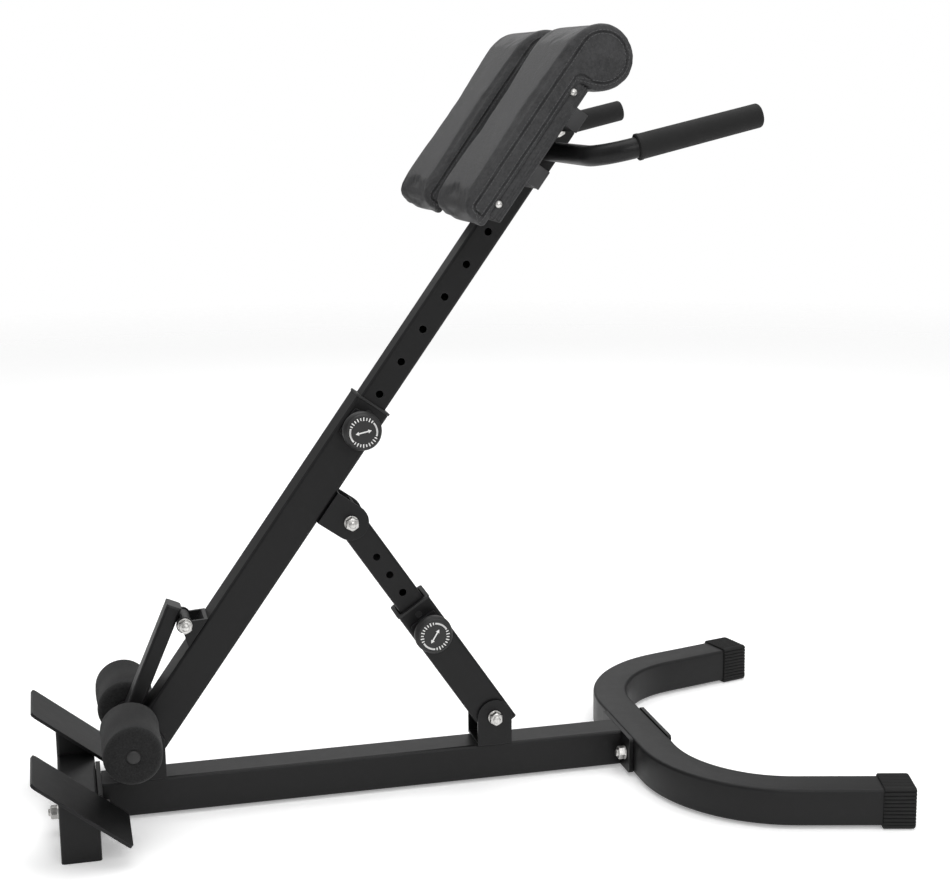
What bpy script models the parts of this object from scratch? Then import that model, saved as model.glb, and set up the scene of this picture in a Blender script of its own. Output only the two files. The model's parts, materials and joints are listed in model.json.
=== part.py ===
"""Roman chair: a 45 degree back extension bench as an assembly of separate pieces.

Metres, +Z up, +X from the foot plates towards the handles, +Y to the user's left.
The base stands on Z = 0 and the origin is under the middle of the whole bench.
Lengths that can be set by themselves are named here once; the rest follows from them.
"""
import math

import bmesh
import bpy
from mathutils import Matrix, Vector

# --- fits between pieces -------------------------------------------------------------
TOUCH_GAP = 0.0003          # left between faces that touch or are welded
SLIDE_GAP = 0.0005          # each side of a tube between its bracket ears
PIN_GAP = 0.0003            # radial, round a bolt or a pin in its hole
LOCK_HOLE_GAP = 0.001       # radial, round a locking pin in the tube and its collar
OVERCUT = 0.010             # how far a cutter passes the face that it opens
THROUGH = 0.100             # from the middle to well outside any tube

# --- square tubes --------------------------------------------------------------------
FRAME_TUBE = 0.050          # outside size of the beam, legs, post and strut
FRAME_WALL = 0.0020
INNER_TUBE = 0.038          # outside size of the two sliding tubes
INNER_WALL = 0.0020
TUBE_CORNER = 0.0035        # outside corner radius of every square tube

# --- base ----------------------------------------------------------------------------
BASE_LIFT = 0.004           # underside of the beam above the floor
BEAM_LENGTH = 0.716
FLANGE_THICKNESS = 0.006
FLANGE_HALF_WIDTH = 0.060
BASE_BOLT_SPREAD = 0.042    # base bolts from the middle of the beam
LEG_SPREAD = 0.117          # middle of each rear leg from the middle of the bench
PLATE_LENGTH = 0.150
PLATE_WIDTH = 0.104
PLATE_THICKNESS = 0.004
PLATE_TILT = math.radians(39.0)
PLATE_CLEARANCE = 0.000808  # under the foot plates, over the cross tube's edge
PLATE_SPREAD = 0.1254       # middle of each foot plate from the middle of the bench
PLATE_CORNER = 0.006
U_BEND_RADIUS = 0.175       # on the tube's axis
U_FLARE = math.radians(15.0)
U_REACH = 0.254             # from the tube's straight part to the middle of its caps
U_END_SPREAD = 0.294        # middle of each cap from the middle of the bench
CAP_LENGTH = 0.042
CAP_WALL = 0.0028
CAP_END_WALL = 0.006
BACKING_THICKNESS = 0.005

# --- U brackets, each folded from one plate ------------------------------------------
BRACKET_WALL = 0.0035
BRACKET_LENGTH = 0.048
BRACKET_EAR_RADIUS = 0.024
POST_PIVOT_RISE = 0.0474    # post pivot above the beam
STRUT_PIVOT_RISE = 0.0403   # strut pivot above the beam
POST_PIVOT_X = 0.091        # from the rear legs' axis
STRUT_PIVOT_X = 0.563
HEAD_PIVOT_UP = 0.3918      # strut's upper pivot along the post
HEAD_PIVOT_OUT = 0.0372     # and out from the post's back face

# --- post ----------------------------------------------------------------------------
POST_TILT = math.radians(54.4)
POST_FOOT = 0.020           # outer post below its pivot
POST_TOP = 0.5356           # outer post above its pivot
COLLAR_FLANGE = 0.003
COLLAR_OVERHANG = 0.0012
COLLAR_DEPTH = 0.060
POST_COLLAR_GAP = 0.0008    # each side, collar to inner post
STRUT_COLLAR_GAP = 0.0019   # each side, wider because the strut swings a little
PEG_BELOW_TOP = 0.0105
PEG_RADIUS = 0.0042
COLLAR_CORNER = 0.003
POST_PIN_UP = 0.5026        # locking pin along the post
POST_HOLE_PITCH = 0.051
POST_HOLES = 7
STOP_HOLE_RADIUS = 0.0052
INNER_POST_BOTTOM = 0.3346
INNER_POST_TOP = 0.9796

# --- plugs in the tubes' ends --------------------------------------------------------
PLUG_CORNER = 0.0012
PLUG_HEAD = 0.0025          # plate outside the tube
FOOT_PLUG_LENGTH = 0.008
POST_PLUG_DEPTH = 0.004
ARM_PLUG_DEPTH = 0.010
ARM_PLUG_CORNER = 0.003

# --- pads ----------------------------------------------------------------------------
CROSSBAR_LENGTH = 0.360
CROSSBAR_WIDTH = 0.025      # along the post
CROSSBAR_DEPTH = 0.020      # out from the post
CROSSBAR_WALL = 0.0015
CROSSBAR_CORNER = 0.0020
LOWER_CROSSBAR_DOWN = 0.0955        # crossbars below the inner post's top
UPPER_CROSSBAR_DOWN = 0.0132
PAD_GAP = 0.064             # between the two pads
PAD_WIDTH = 0.168
PAD_BOTTOM_DOWN = 0.1846    # pads' lower edge below the inner post's top
PAD_THICKNESS = 0.036       # upholstery over its board
PAD_ROLL_RADIUS = 0.038
PAD_ROLL_UP = 0.0630        # roll's centre above the inner post's top
PAD_ROLL_END = math.radians(-60.4)      # where the roll's curve stops behind the board
PAD_CORNER = 0.016
BOARD_THICKNESS = 0.013
BOARD_INSET = 0.003         # board inside the pad's sides
BOARD_BOTTOM_INSET = 0.016
BOARD_TO_ROLL = 0.0026      # boards' upper edge below the roll
BOARD_CORNER = 0.006

# --- handlebar -----------------------------------------------------------------------
BAR_RADIUS = 0.0125
BAR_WALL = 0.0020
GRIP_GAP = 0.002            # from the bar's bend to its grip
BAR_DOWN = 0.0440           # where the bar crosses, below the inner post's top
BAR_PITCH = math.radians(12.9)
BAR_BEND_RADIUS = 0.045
BAR_SPREAD = 0.2574         # axis of each hand grip from the middle of the bench
BAR_REACH = 0.203           # bar's ends from its cross part
GRIP_WALL = 0.0028
GRIP_END = 0.003
SADDLE_WALL = 0.003
SADDLE_COVER = 0.0114       # saddle's sides ahead of the post's middle
SADDLE_BELOW = 0.022
SADDLE_ABOVE = 0.042
SADDLE_BOLT_UP = 0.032      # saddle's bolt beyond the bar

# --- strut ---------------------------------------------------------------------------
STRUT_FOOT = 0.020
STRUT_TOP = 0.1972
STRUT_PIN_UP = 0.1608
STRUT_HOLE_PITCH = 0.0311
STRUT_HOLES = 5
INNER_STRUT_BOTTOM = 0.108
INNER_STRUT_OVER = 0.018    # inner strut tube beyond its pivot
SPACER_RADIUS = 0.009

# --- roller arm ----------------------------------------------------------------------
ARM_PIVOT_UP = 0.1625
ARM_PIVOT_OUT = 0.0211      # out from the post's front face
ARM_BRACKET_LENGTH = 0.046
ARM_BRACKET_WALL = 0.004
ARM_EAR_RADIUS = 0.011
ARM_DEPTH = 0.020
ARM_WIDTH = 0.030
ARM_WALL = 0.0018
ARM_REACH = 0.150           # pivot to axle along the arm
ARM_OVER = 0.014            # arm beyond its pivot
ARM_FOOT = 0.004            # arm's end short of the axle's centre
SLEEVE_RADIUS = 0.0095
AXLE_RADIUS = 0.0095
ROLLER_RADIUS = 0.0375
ROLLER_INNER_END = 0.034    # roller's inner end from the middle of the bench
ROLLER_OUTER_END = 0.1413
HUB_WALL = 0.003
ROLLER_EDGE = 0.005         # rounding of a roller's shoulders
HUB_CAP_LENGTH = 0.003

# --- fasteners -----------------------------------------------------------------------
BOLT_RADIUS = 0.005
WASHER_RADIUS = 0.0097
WASHER_THICKNESS = 0.002
NUT_RADIUS = 0.0080         # to the flats
NUT_HEIGHT = 0.0088
HEAD_HEIGHT = 0.0064
TIP_LENGTH = 0.0030
LOW_HEAD_HEIGHT = 0.0035

# --- locking knobs -------------------------------------------------------------------
KNOB_RADIUS = 0.0262
KNOB_LENGTH = 0.021
KNOB_EDGE = 0.003
KNOB_SOCKET = 0.0126        # pin into the knob
BOSS_PLATE = 0.039
BOSS_CORNER = 0.003
BOSS_PLATE_THICKNESS = 0.004
BOSS_RADIUS = 0.011
BOSS_LENGTH = 0.011
LOCK_PIN_RADIUS = 0.005

ROUND = 12                  # sides of a small round piece
WIDE_ROUND = 24             # sides of a large one
BAR_ROUND = 16
GRIP_ROUND = 20
BEND_STEPS = 8

# --- derived places ------------------------------------------------------------------
HALF_TUBE = FRAME_TUBE / 2
HALF_INNER = INNER_TUBE / 2
TUBE_BORE = FRAME_TUBE - 2 * FRAME_WALL
BEAM_AXIS_Z = BASE_LIFT + HALF_TUBE
BEAM_TOP = BASE_LIFT + FRAME_TUBE
REAR_FLANGE_X = HALF_TUBE + TOUCH_GAP
BEAM_X = REAR_FLANGE_X + FLANGE_THICKNESS + TOUCH_GAP
FRONT_FLANGE_X = BEAM_X + BEAM_LENGTH + TOUCH_GAP
U_X = FRONT_FLANGE_X + FLANGE_THICKNESS + TOUCH_GAP + HALF_TUBE
BACKING_X = U_X + HALF_TUBE + TOUCH_GAP
EAR_INSIDE = HALF_TUBE + SLIDE_GAP
EAR_OUTSIDE = EAR_INSIDE + BRACKET_WALL
POST_PIVOT_Z = BEAM_TOP + TOUCH_GAP + POST_PIVOT_RISE
STRUT_PIVOT_Z = BEAM_TOP + TOUCH_GAP + STRUT_PIVOT_RISE
CAP_HALF_WIDTH = HALF_TUBE + TOUCH_GAP + CAP_WALL
CAP_TOP = BEAM_TOP + TOUCH_GAP + CAP_WALL

REAR_END = PLATE_LENGTH / 2 * math.cos(PLATE_TILT) + PLATE_THICKNESS * math.sin(PLATE_TILT)
PLATE_MIDDLE_X = 0.0047
PLATE_DROP = PLATE_THICKNESS / math.cos(PLATE_TILT)
PLATE_HEIGHT = BEAM_TOP + HALF_TUBE * math.tan(PLATE_TILT) + PLATE_DROP + PLATE_CLEARANCE
FRONT_END = (
    U_X
    + U_REACH
    + CAP_LENGTH / 2 * math.cos(U_FLARE)
    + CAP_HALF_WIDTH * math.sin(U_FLARE)
)
ORIGIN_X = (FRONT_END + PLATE_MIDDLE_X - REAR_END) / 2


def post_axes():
    """The post's own frame: Z up the post, X out of its back face, Y across."""
    return Matrix.Rotation(math.pi / 2 - POST_TILT, 3, "Y")


POST_PIVOT = Vector((POST_PIVOT_X, 0, POST_PIVOT_Z))
STRUT_PIVOT = Vector((STRUT_PIVOT_X, 0, STRUT_PIVOT_Z))
HEAD_PIVOT_LOCAL = Vector((HALF_TUBE + TOUCH_GAP + HEAD_PIVOT_OUT, 0, HEAD_PIVOT_UP))
HEAD_PIVOT = POST_PIVOT + post_axes() @ HEAD_PIVOT_LOCAL
STRUT_LINE = HEAD_PIVOT - STRUT_PIVOT
STRUT_LENGTH = STRUT_LINE.length
STRUT_TURN = math.atan2(STRUT_LINE.x, STRUT_LINE.z)

ARM_PIVOT_X = -(HALF_TUBE + TOUCH_GAP + ARM_PIVOT_OUT)
ARM_OFFSET = ARM_DEPTH / 2 + SLEEVE_RADIUS + TOUCH_GAP
AXLE_X = -(HALF_TUBE + AXLE_RADIUS + TOUCH_GAP)
ARM_TURN = -(
    math.asin((AXLE_X - ARM_PIVOT_X) / math.hypot(ARM_REACH, ARM_OFFSET))
    + math.atan2(ARM_OFFSET, ARM_REACH)
)

LOWER_CROSSBAR_Z = INNER_POST_TOP - LOWER_CROSSBAR_DOWN
UPPER_CROSSBAR_Z = INNER_POST_TOP - UPPER_CROSSBAR_DOWN
PAD_BOTTOM_Z = INNER_POST_TOP - PAD_BOTTOM_DOWN
PAD_ROLL_Z = INNER_POST_TOP + PAD_ROLL_UP
BOARD_TOP_Z = PAD_ROLL_Z - PAD_ROLL_RADIUS - BOARD_TO_ROLL
BAR_Z = INNER_POST_TOP - BAR_DOWN
CROSSBAR_X = -(HALF_INNER + TOUCH_GAP + CROSSBAR_DEPTH / 2)
BOARD_BACK_X = CROSSBAR_X - CROSSBAR_DEPTH / 2 - TOUCH_GAP
PAD_BACK_X = BOARD_BACK_X - BOARD_THICKNESS - TOUCH_GAP
PAD_FRONT_X = PAD_BACK_X - PAD_THICKNESS
PAD_MIDDLE_Y = (PAD_GAP + PAD_WIDTH) / 2

BLACK_PAINT = ((0.030, 0.030, 0.031), 0.42, 0.0)
BLACK_PLASTIC = ((0.022, 0.022, 0.022), 0.50, 0.0)
BLACK_RUBBER = ((0.028, 0.028, 0.028), 0.80, 0.0)
BLACK_VINYL = ((0.040, 0.040, 0.041), 0.45, 0.0)
BLACK_FOAM = ((0.035, 0.035, 0.036), 0.92, 0.0)
BLACKENED_WOOD = ((0.020, 0.019, 0.018), 0.70, 0.0)
ZINC = ((0.62, 0.62, 0.60), 0.32, 1.0)


# --- building blocks -----------------------------------------------------------------
def clear_scene():
    for existing in list(bpy.data.objects):
        bpy.data.objects.remove(existing, do_unlink=True)


def empty(name, location, turn=0.0, parent=None):
    """A guide that carries pieces, turned about the axis across the bench."""
    guide = bpy.data.objects.new(name, None)
    bpy.context.scene.collection.objects.link(guide)
    guide.location = location
    guide.rotation_euler = (0, turn, 0)
    guide.parent = parent
    return guide


def add_piece(name, bm, parent, finish):
    bmesh.ops.recalc_face_normals(bm, faces=bm.faces)
    mesh = bpy.data.meshes.new(name)
    bm.to_mesh(mesh)
    bm.free()
    piece = bpy.data.objects.new(name, mesh)
    bpy.context.scene.collection.objects.link(piece)
    piece.parent = parent
    colour, roughness, metallic = finish
    material = bpy.data.materials.new(name + "_finish")
    material.use_nodes = True
    shader = material.node_tree.nodes["Principled BSDF"]
    shader.inputs["Base Color"].default_value = (*colour, 1.0)
    shader.inputs["Roughness"].default_value = roughness
    shader.inputs["Metallic"].default_value = metallic
    mesh.materials.append(material)
    mesh.shade_smooth()
    mesh.set_sharp_from_angle(angle=math.radians(35))
    return piece


def circle(radius, sides=ROUND):
    turns = (2 * math.pi * (i + 0.5) / sides for i in range(sides))
    return [Vector((radius * math.cos(a), radius * math.sin(a), 0)) for a in turns]


def hexagon(flat_radius, sides=ROUND):
    """A hexagon drawn with as many points as the round parts it joins."""
    points = []
    for i in range(sides):
        a = 2 * math.pi * i / sides
        off_flat = (a + math.pi / 6) % (math.pi / 3) - math.pi / 6
        reach = flat_radius / math.cos(off_flat)
        points.append(Vector((reach * math.cos(a), reach * math.sin(a), 0)))
    return points


def rounded_rectangle(size_x, size_y, corner, steps=2):
    points = []
    quarter = math.pi / 2
    for k, (sx, sy) in enumerate(((1, 1), (-1, 1), (-1, -1), (1, -1))):
        middle = Vector((sx * (size_x / 2 - corner), sy * (size_y / 2 - corner), 0))
        for i in range(steps + 1):
            a = quarter * (k + i / steps)
            points.append(middle + Vector((corner * math.cos(a), corner * math.sin(a), 0)))
    return points


def ring(bm, outline, place):
    return [bm.verts.new(place @ point) for point in outline]


def skin(bm, rings, closed=False):
    """Faces between one ring and the next, and back to the first if closed."""
    pairs = list(zip(rings, rings[1:]))
    if closed:
        pairs.append((rings[-1], rings[0]))
    for low, high in pairs:
        count = len(low)
        for i in range(count):
            j = (i + 1) % count
            bm.faces.new((low[i], low[j], high[j], high[i]))


def hollow(outside, inside, places):
    """A tube with open ends whose section is carried through the given places."""
    bm = bmesh.new()
    outer = [ring(bm, outside, place) for place in places]
    inner = [ring(bm, inside, place) for place in places]
    skin(bm, outer + inner[::-1], closed=True)
    return bm


def solid(sections):
    """A closed body through sections, each an outline and the place it is put."""
    bm = bmesh.new()
    rings = [ring(bm, outline, place) for outline, place in sections]
    skin(bm, rings)
    bm.faces.new(rings[0])
    bm.faces.new(rings[-1])
    return bm


def up(distance):
    return Matrix.Translation((0, 0, distance))


def square_tube(outside_x, outside_y, wall, bottom, top):
    """An upright rectangular tube; bottom and top are its two end places."""
    outside = rounded_rectangle(outside_x, outside_y, TUBE_CORNER)
    inside = rounded_rectangle(
        outside_x - 2 * wall, outside_y - 2 * wall, max(TUBE_CORNER - wall, 0.0008)
    )
    return hollow(outside, inside, (bottom, top))


def turned(steps, start=0.0):
    """A stepped shaft along Z from (outline, length) steps."""
    sections = []
    z = start
    for outline, length in steps:
        sections.append((outline, up(z)))
        z += length
        sections.append((outline, up(z)))
    return solid(sections)


def box(size_x, size_y, size_z, centre=(0, 0, 0)):
    bm = bmesh.new()
    bmesh.ops.create_cube(bm, size=1.0)
    bmesh.ops.scale(bm, vec=(size_x, size_y, size_z), verts=bm.verts)
    bmesh.ops.translate(bm, vec=centre, verts=bm.verts)
    return bm


def lay(bm, turn):
    """The same shape turned by the given matrix."""
    bmesh.ops.transform(bm, matrix=turn, verts=bm.verts)
    return bm


def facing(direction, at=(0, 0, 0)):
    """A place whose Z axis points along the direction."""
    turn = Vector((0, 0, 1)).rotation_difference(Vector(direction)).to_matrix().to_4x4()
    return Matrix.Translation(at) @ turn


def cut(piece, name, shapes, operation="DIFFERENCE"):
    """Takes each shape, given in the piece's own frame, out of the piece."""
    for number, shape in enumerate(shapes):
        bmesh.ops.recalc_face_normals(shape, faces=shape.faces)
        mesh = bpy.data.meshes.new(f"{name}_{number}")
        shape.to_mesh(mesh)
        shape.free()
        tool = bpy.data.objects.new(mesh.name, mesh)
        bpy.context.scene.collection.objects.link(tool)
        tool.parent = piece.parent
        tool.display_type = "WIRE"
        tool.hide_render = True
        modifier = piece.modifiers.new(tool.name, "BOOLEAN")
        modifier.object = tool
        modifier.operation = operation
        modifier.solver = "EXACT"


def drill(radius, start, end, sides=ROUND):
    """A cylinder from one point to another, for use as a cutter."""
    start, end = Vector(start), Vector(end)
    reach = end - start
    place = facing(reach, start)
    outline = circle(radius, sides)
    return solid([(outline, place), (outline, place @ up(reach.length))])


def across_hole(radius, x, z, sides=ROUND):
    """A hole along Y, right through whatever stands at (x, z)."""
    return drill(radius, (x, -THROUGH, z), (x, THROUGH, z), sides)


def side_hole(radius, z):
    """A hole in the right-hand wall of an upright tube."""
    return drill(radius, (0, -THROUGH, z), (0, 0, z))


# --- base ----------------------------------------------------------------------------
def build_beam(base):
    along = facing((1, 0, 0), (BEAM_X, 0, BEAM_AXIS_Z))
    tube = square_tube(FRAME_TUBE, FRAME_TUBE, FRAME_WALL, along, along @ up(BEAM_LENGTH))
    add_piece("main_beam", tube, base, BLACK_PAINT)
    for name, x in (("rear_flange", REAR_FLANGE_X), ("front_flange", FRONT_FLANGE_X)):
        place = facing((1, 0, 0), (x, 0, BEAM_AXIS_Z))
        outline = rounded_rectangle(FRAME_TUBE, 2 * FLANGE_HALF_WIDTH, TUBE_CORNER, 2)
        sections = [(outline, place), (outline, place @ up(FLANGE_THICKNESS))]
        flange = add_piece(name, solid(sections), base, BLACK_PAINT)
        cut(flange, name + "_holes", base_bolt_holes(x, x + FLANGE_THICKNESS))


def base_bolt_holes(x_start, x_end):
    """Both base bolts' holes through everything between two faces."""
    first, last = x_start - OVERCUT, x_end + OVERCUT
    return [
        drill(BOLT_RADIUS + PIN_GAP, (first, y, BEAM_AXIS_Z), (last, y, BEAM_AXIS_Z))
        for y in (-BASE_BOLT_SPREAD, BASE_BOLT_SPREAD)
    ]


def nut_and_tip():
    washer = (circle(WASHER_RADIUS), WASHER_THICKNESS)
    nut = (hexagon(NUT_RADIUS), NUT_HEIGHT)
    tip = (circle(BOLT_RADIUS), TIP_LENGTH)
    return washer, nut, tip


def hex_bolt(grip):
    """A bolt with its washers and nut on a clamped stack; Z = 0 is under the head."""
    washer, nut, tip = nut_and_tip()
    head = (hexagon(NUT_RADIUS), HEAD_HEIGHT)
    shank = (circle(BOLT_RADIUS), grip + 2 * TOUCH_GAP)
    start = -TOUCH_GAP - WASHER_THICKNESS - HEAD_HEIGHT
    return turned((head, washer, shank, washer, nut, tip), start)


def build_base_bolts(base):
    rear_grip = FLANGE_THICKNESS + TOUCH_GAP + FRAME_TUBE
    front_grip = FLANGE_THICKNESS + BACKING_THICKNESS + 2 * TOUCH_GAP + FRAME_TUBE
    ends = (
        ("rear", REAR_FLANGE_X + FLANGE_THICKNESS, rear_grip),
        ("front", BACKING_X + BACKING_THICKNESS, front_grip),
    )
    for end, x, grip in ends:
        for side, y in (("left", BASE_BOLT_SPREAD), ("right", -BASE_BOLT_SPREAD)):
            place = facing((-1, 0, 0), (x, y, BEAM_AXIS_Z))
            add_piece(f"{end}_bolt_{side}", lay(hex_bolt(grip), place), base, ZINC)


def build_rear_foot(base):
    half_length = LEG_SPREAD - HALF_TUBE - TOUCH_GAP
    across = facing((0, 1, 0), (0, -half_length, BEAM_AXIS_Z))
    cross = square_tube(
        FRAME_TUBE, FRAME_TUBE, FRAME_WALL, across, across @ up(2 * half_length)
    )
    cross_tube = add_piece("rear_cross_tube", cross, base, BLACK_PAINT)
    cut(cross_tube, "rear_cross_tube_holes", base_bolt_holes(-HALF_TUBE, HALF_TUBE))
    slope = math.tan(PLATE_TILT)
    plate_drop = (PLATE_THICKNESS + TOUCH_GAP) / math.cos(PLATE_TILT)
    leg_top = PLATE_HEIGHT - plate_drop
    mitre = Matrix(((1, 0, 0, 0), (0, 1, 0, 0), (-slope, 0, 1, leg_top), (0, 0, 0, 1)))
    for side, sign in (("left", 1), ("right", -1)):
        move = Matrix.Translation((0, sign * LEG_SPREAD, 0))
        leg = square_tube(FRAME_TUBE, FRAME_TUBE, FRAME_WALL, move, move @ mitre)
        add_piece(f"foot_leg_{side}", leg, base, BLACK_PAINT)
        outline = rounded_rectangle(PLATE_LENGTH, PLATE_WIDTH, PLATE_CORNER)
        middle_z = PLATE_HEIGHT - PLATE_MIDDLE_X * slope
        place = Matrix.Translation((PLATE_MIDDLE_X, sign * PLATE_SPREAD, middle_z))
        place = place @ Matrix.Rotation(PLATE_TILT, 4, "Y")
        sections = [(outline, place @ up(-PLATE_THICKNESS)), (outline, place)]
        add_piece(f"foot_plate_{side}", solid(sections), base, BLACK_PAINT)


def u_tube_places():
    """Places along the flared U from its right end, by the straight part, to its left."""
    bend_turn = math.pi / 2 - U_FLARE
    corner_y = U_END_SPREAD - U_REACH * math.tan(U_FLARE)
    bend_y = corner_y - U_BEND_RADIUS * math.tan(bend_turn / 2)
    half = []
    for i in range(BEND_STEPS + 1):
        a = bend_turn * i / BEND_STEPS
        x = U_X + U_BEND_RADIUS * (1 - math.cos(a))
        y = bend_y + U_BEND_RADIUS * math.sin(a)
        half.append((x, y, a))
    end_run = CAP_LENGTH / 2 - CAP_END_WALL - TOUCH_GAP
    end_x = U_X + U_REACH + end_run * math.cos(U_FLARE)
    end_y = U_END_SPREAD + end_run * math.sin(U_FLARE)
    half.append((end_x, end_y, bend_turn))
    route = [(x, -y, -a) for x, y, a in half[::-1]] + half
    level = Matrix.Rotation(math.pi / 2, 4, "X")
    return [
        Matrix.Translation((x, y, BEAM_AXIS_Z)) @ Matrix.Rotation(-a, 4, "Z") @ level
        for x, y, a in route
    ]


def build_front_foot(base):
    outside = rounded_rectangle(FRAME_TUBE, FRAME_TUBE, TUBE_CORNER)
    inside = rounded_rectangle(TUBE_BORE, TUBE_BORE, TUBE_CORNER - FRAME_WALL)
    tube = hollow(outside, inside, u_tube_places())
    u_tube = add_piece("front_u_tube", tube, base, BLACK_PAINT)
    cut(u_tube, "front_u_tube_holes", base_bolt_holes(U_X - HALF_TUBE, U_X + HALF_TUBE))
    place = facing((1, 0, 0), (BACKING_X, 0, BEAM_AXIS_Z))
    outline = rounded_rectangle(FRAME_TUBE, 2 * FLANGE_HALF_WIDTH, TUBE_CORNER, 2)
    sections = [(outline, place), (outline, place @ up(BACKING_THICKNESS))]
    backing = add_piece("backing_plate", solid(sections), base, BLACK_PAINT)
    holes = base_bolt_holes(BACKING_X, BACKING_X + BACKING_THICKNESS)
    cut(backing, "backing_plate_holes", holes)
    for side, sign in (("left", 1), ("right", -1)):
        build_end_cap(f"end_cap_{side}", sign, base)


def build_end_cap(name, sign, base):
    """A moulded cap over the end of the tube, open towards the tube."""
    middle = (U_X + U_REACH, sign * U_END_SPREAD, 0)
    turn = Matrix.Translation(middle) @ Matrix.Rotation(sign * U_FLARE, 4, "Z")
    outline = rounded_rectangle(CAP_TOP, 2 * CAP_HALF_WIDTH, TUBE_CORNER + CAP_WALL)
    mouth = turn @ facing((1, 0, 0), (-CAP_LENGTH / 2, 0, CAP_TOP / 2))
    shell = solid([(outline, mouth), (outline, mouth @ up(CAP_LENGTH))])
    cap = add_piece(name, shell, base, BLACK_RUBBER)
    pocket_size = FRAME_TUBE + 2 * TOUCH_GAP
    pocket = rounded_rectangle(pocket_size, pocket_size, TUBE_CORNER)
    deep = CAP_LENGTH - CAP_END_WALL
    start = turn @ facing((1, 0, 0), (-CAP_LENGTH / 2 - OVERCUT, 0, BEAM_AXIS_Z))
    cutter = solid([(pocket, start), (pocket, start @ up(deep + OVERCUT))])
    cut(cap, name + "_pocket", [cutter])


def bracket_outline(length, ear_radius, pivot_rise):
    """Side view of a bracket: a flat base, sides tangent to a round ear."""
    half = length / 2
    reach = math.hypot(half, pivot_rise)
    lean = math.atan2(half, pivot_rise) - math.asin(min(ear_radius / reach, 1.0))
    first = -lean
    steps = 14
    points = [Vector((half, 0, 0)), Vector((-half, 0, 0))]
    for i in range(steps + 1):
        a = math.pi - first - (math.pi - 2 * first) * i / steps
        points.append(Vector((ear_radius * math.cos(a), ear_radius * math.sin(a) + pivot_rise, 0)))
    return points


def u_bracket(name, length, ear_radius, rise, wall, outside, place, parent):
    """A plate folded into a U: Z out of the base, the bolt across it along Y."""
    outline = bracket_outline(length, ear_radius, rise)
    stand = Matrix.Rotation(math.pi / 2, 4, "X")
    start = place @ Matrix.Translation((0, outside, 0)) @ stand
    body = solid([(outline, start), (outline, start @ up(2 * outside))])
    bracket = add_piece(name, body, parent, BLACK_PAINT)
    tall = rise + ear_radius
    gap = box(length + 2 * OVERCUT, 2 * (outside - wall), tall, (0, 0, wall + tall / 2))
    hole = across_hole(BOLT_RADIUS + PIN_GAP, 0, rise)
    cut(bracket, name + "_cuts", [lay(gap, place), lay(hole, place)])
    return bracket


def build_base_brackets(base):
    stations = (
        ("post_bracket", POST_PIVOT_X, POST_PIVOT_RISE),
        ("strut_bracket", STRUT_PIVOT_X, STRUT_PIVOT_RISE),
    )
    for name, x, rise in stations:
        place = Matrix.Translation((x, 0, BEAM_TOP + TOUCH_GAP))
        u_bracket(
            name, BRACKET_LENGTH, BRACKET_EAR_RADIUS, rise, BRACKET_WALL, EAR_OUTSIDE, place, base
        )
    grip = 2 * EAR_OUTSIDE
    low_head = (circle(WASHER_RADIUS), LOW_HEAD_HEIGHT)
    shank = (circle(BOLT_RADIUS), grip + 2 * TOUCH_GAP)
    pivot = turned((low_head, shank, low_head), -LOW_HEAD_HEIGHT - TOUCH_GAP)
    place = facing((0, -1, 0), (POST_PIVOT_X, EAR_OUTSIDE, POST_PIVOT_Z))
    add_piece("post_pivot_bolt", lay(pivot, place), base, ZINC)
    place = facing((0, -1, 0), (STRUT_PIVOT_X, EAR_OUTSIDE, STRUT_PIVOT_Z))
    add_piece("strut_foot_bolt", lay(hex_bolt(grip), place), base, ZINC)


# --- post and what slides and swings on it ---------------------------------------------
def collar(name, gap, pin_below_top, parent, top):
    """A plastic guide pushed into a tube's mouth, with a peg that snaps into its wall."""
    bore = INNER_TUBE + 2 * gap
    sleeve = TUBE_BORE - 2 * TOUCH_GAP
    flange = FRAME_TUBE + 2 * COLLAR_OVERHANG
    inside = rounded_rectangle(bore, bore, COLLAR_CORNER)
    wide = rounded_rectangle(flange, flange, TUBE_CORNER + COLLAR_OVERHANG)
    narrow = rounded_rectangle(sleeve, sleeve, TUBE_CORNER - FRAME_WALL)
    seat = top + TOUCH_GAP
    bm = bmesh.new()
    low = up(top - COLLAR_DEPTH)
    high = up(seat + COLLAR_FLANGE)
    rings = [
        ring(bm, narrow, low),
        ring(bm, narrow, up(seat)),
        ring(bm, wide, up(seat)),
        ring(bm, wide, high),
        ring(bm, inside, high),
        ring(bm, inside, low),
    ]
    skin(bm, rings, closed=True)
    piece = add_piece(name, bm, parent, BLACK_PLASTIC)
    peg_z = top - PEG_BELOW_TOP
    peg_start = (0, -sleeve / 2 + 0.001, peg_z)
    peg = drill(PEG_RADIUS, peg_start, (0, -HALF_TUBE + 0.0004, peg_z))
    cut(piece, name + "_peg", [peg], "UNION")
    pin_z = top - pin_below_top
    hole_start = (0, -HALF_TUBE - OVERCUT, pin_z)
    hole = drill(LOCK_PIN_RADIUS + LOCK_HOLE_GAP, hole_start, (0, 0, pin_z))
    cut(piece, name + "_pin_hole", [hole])


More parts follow.
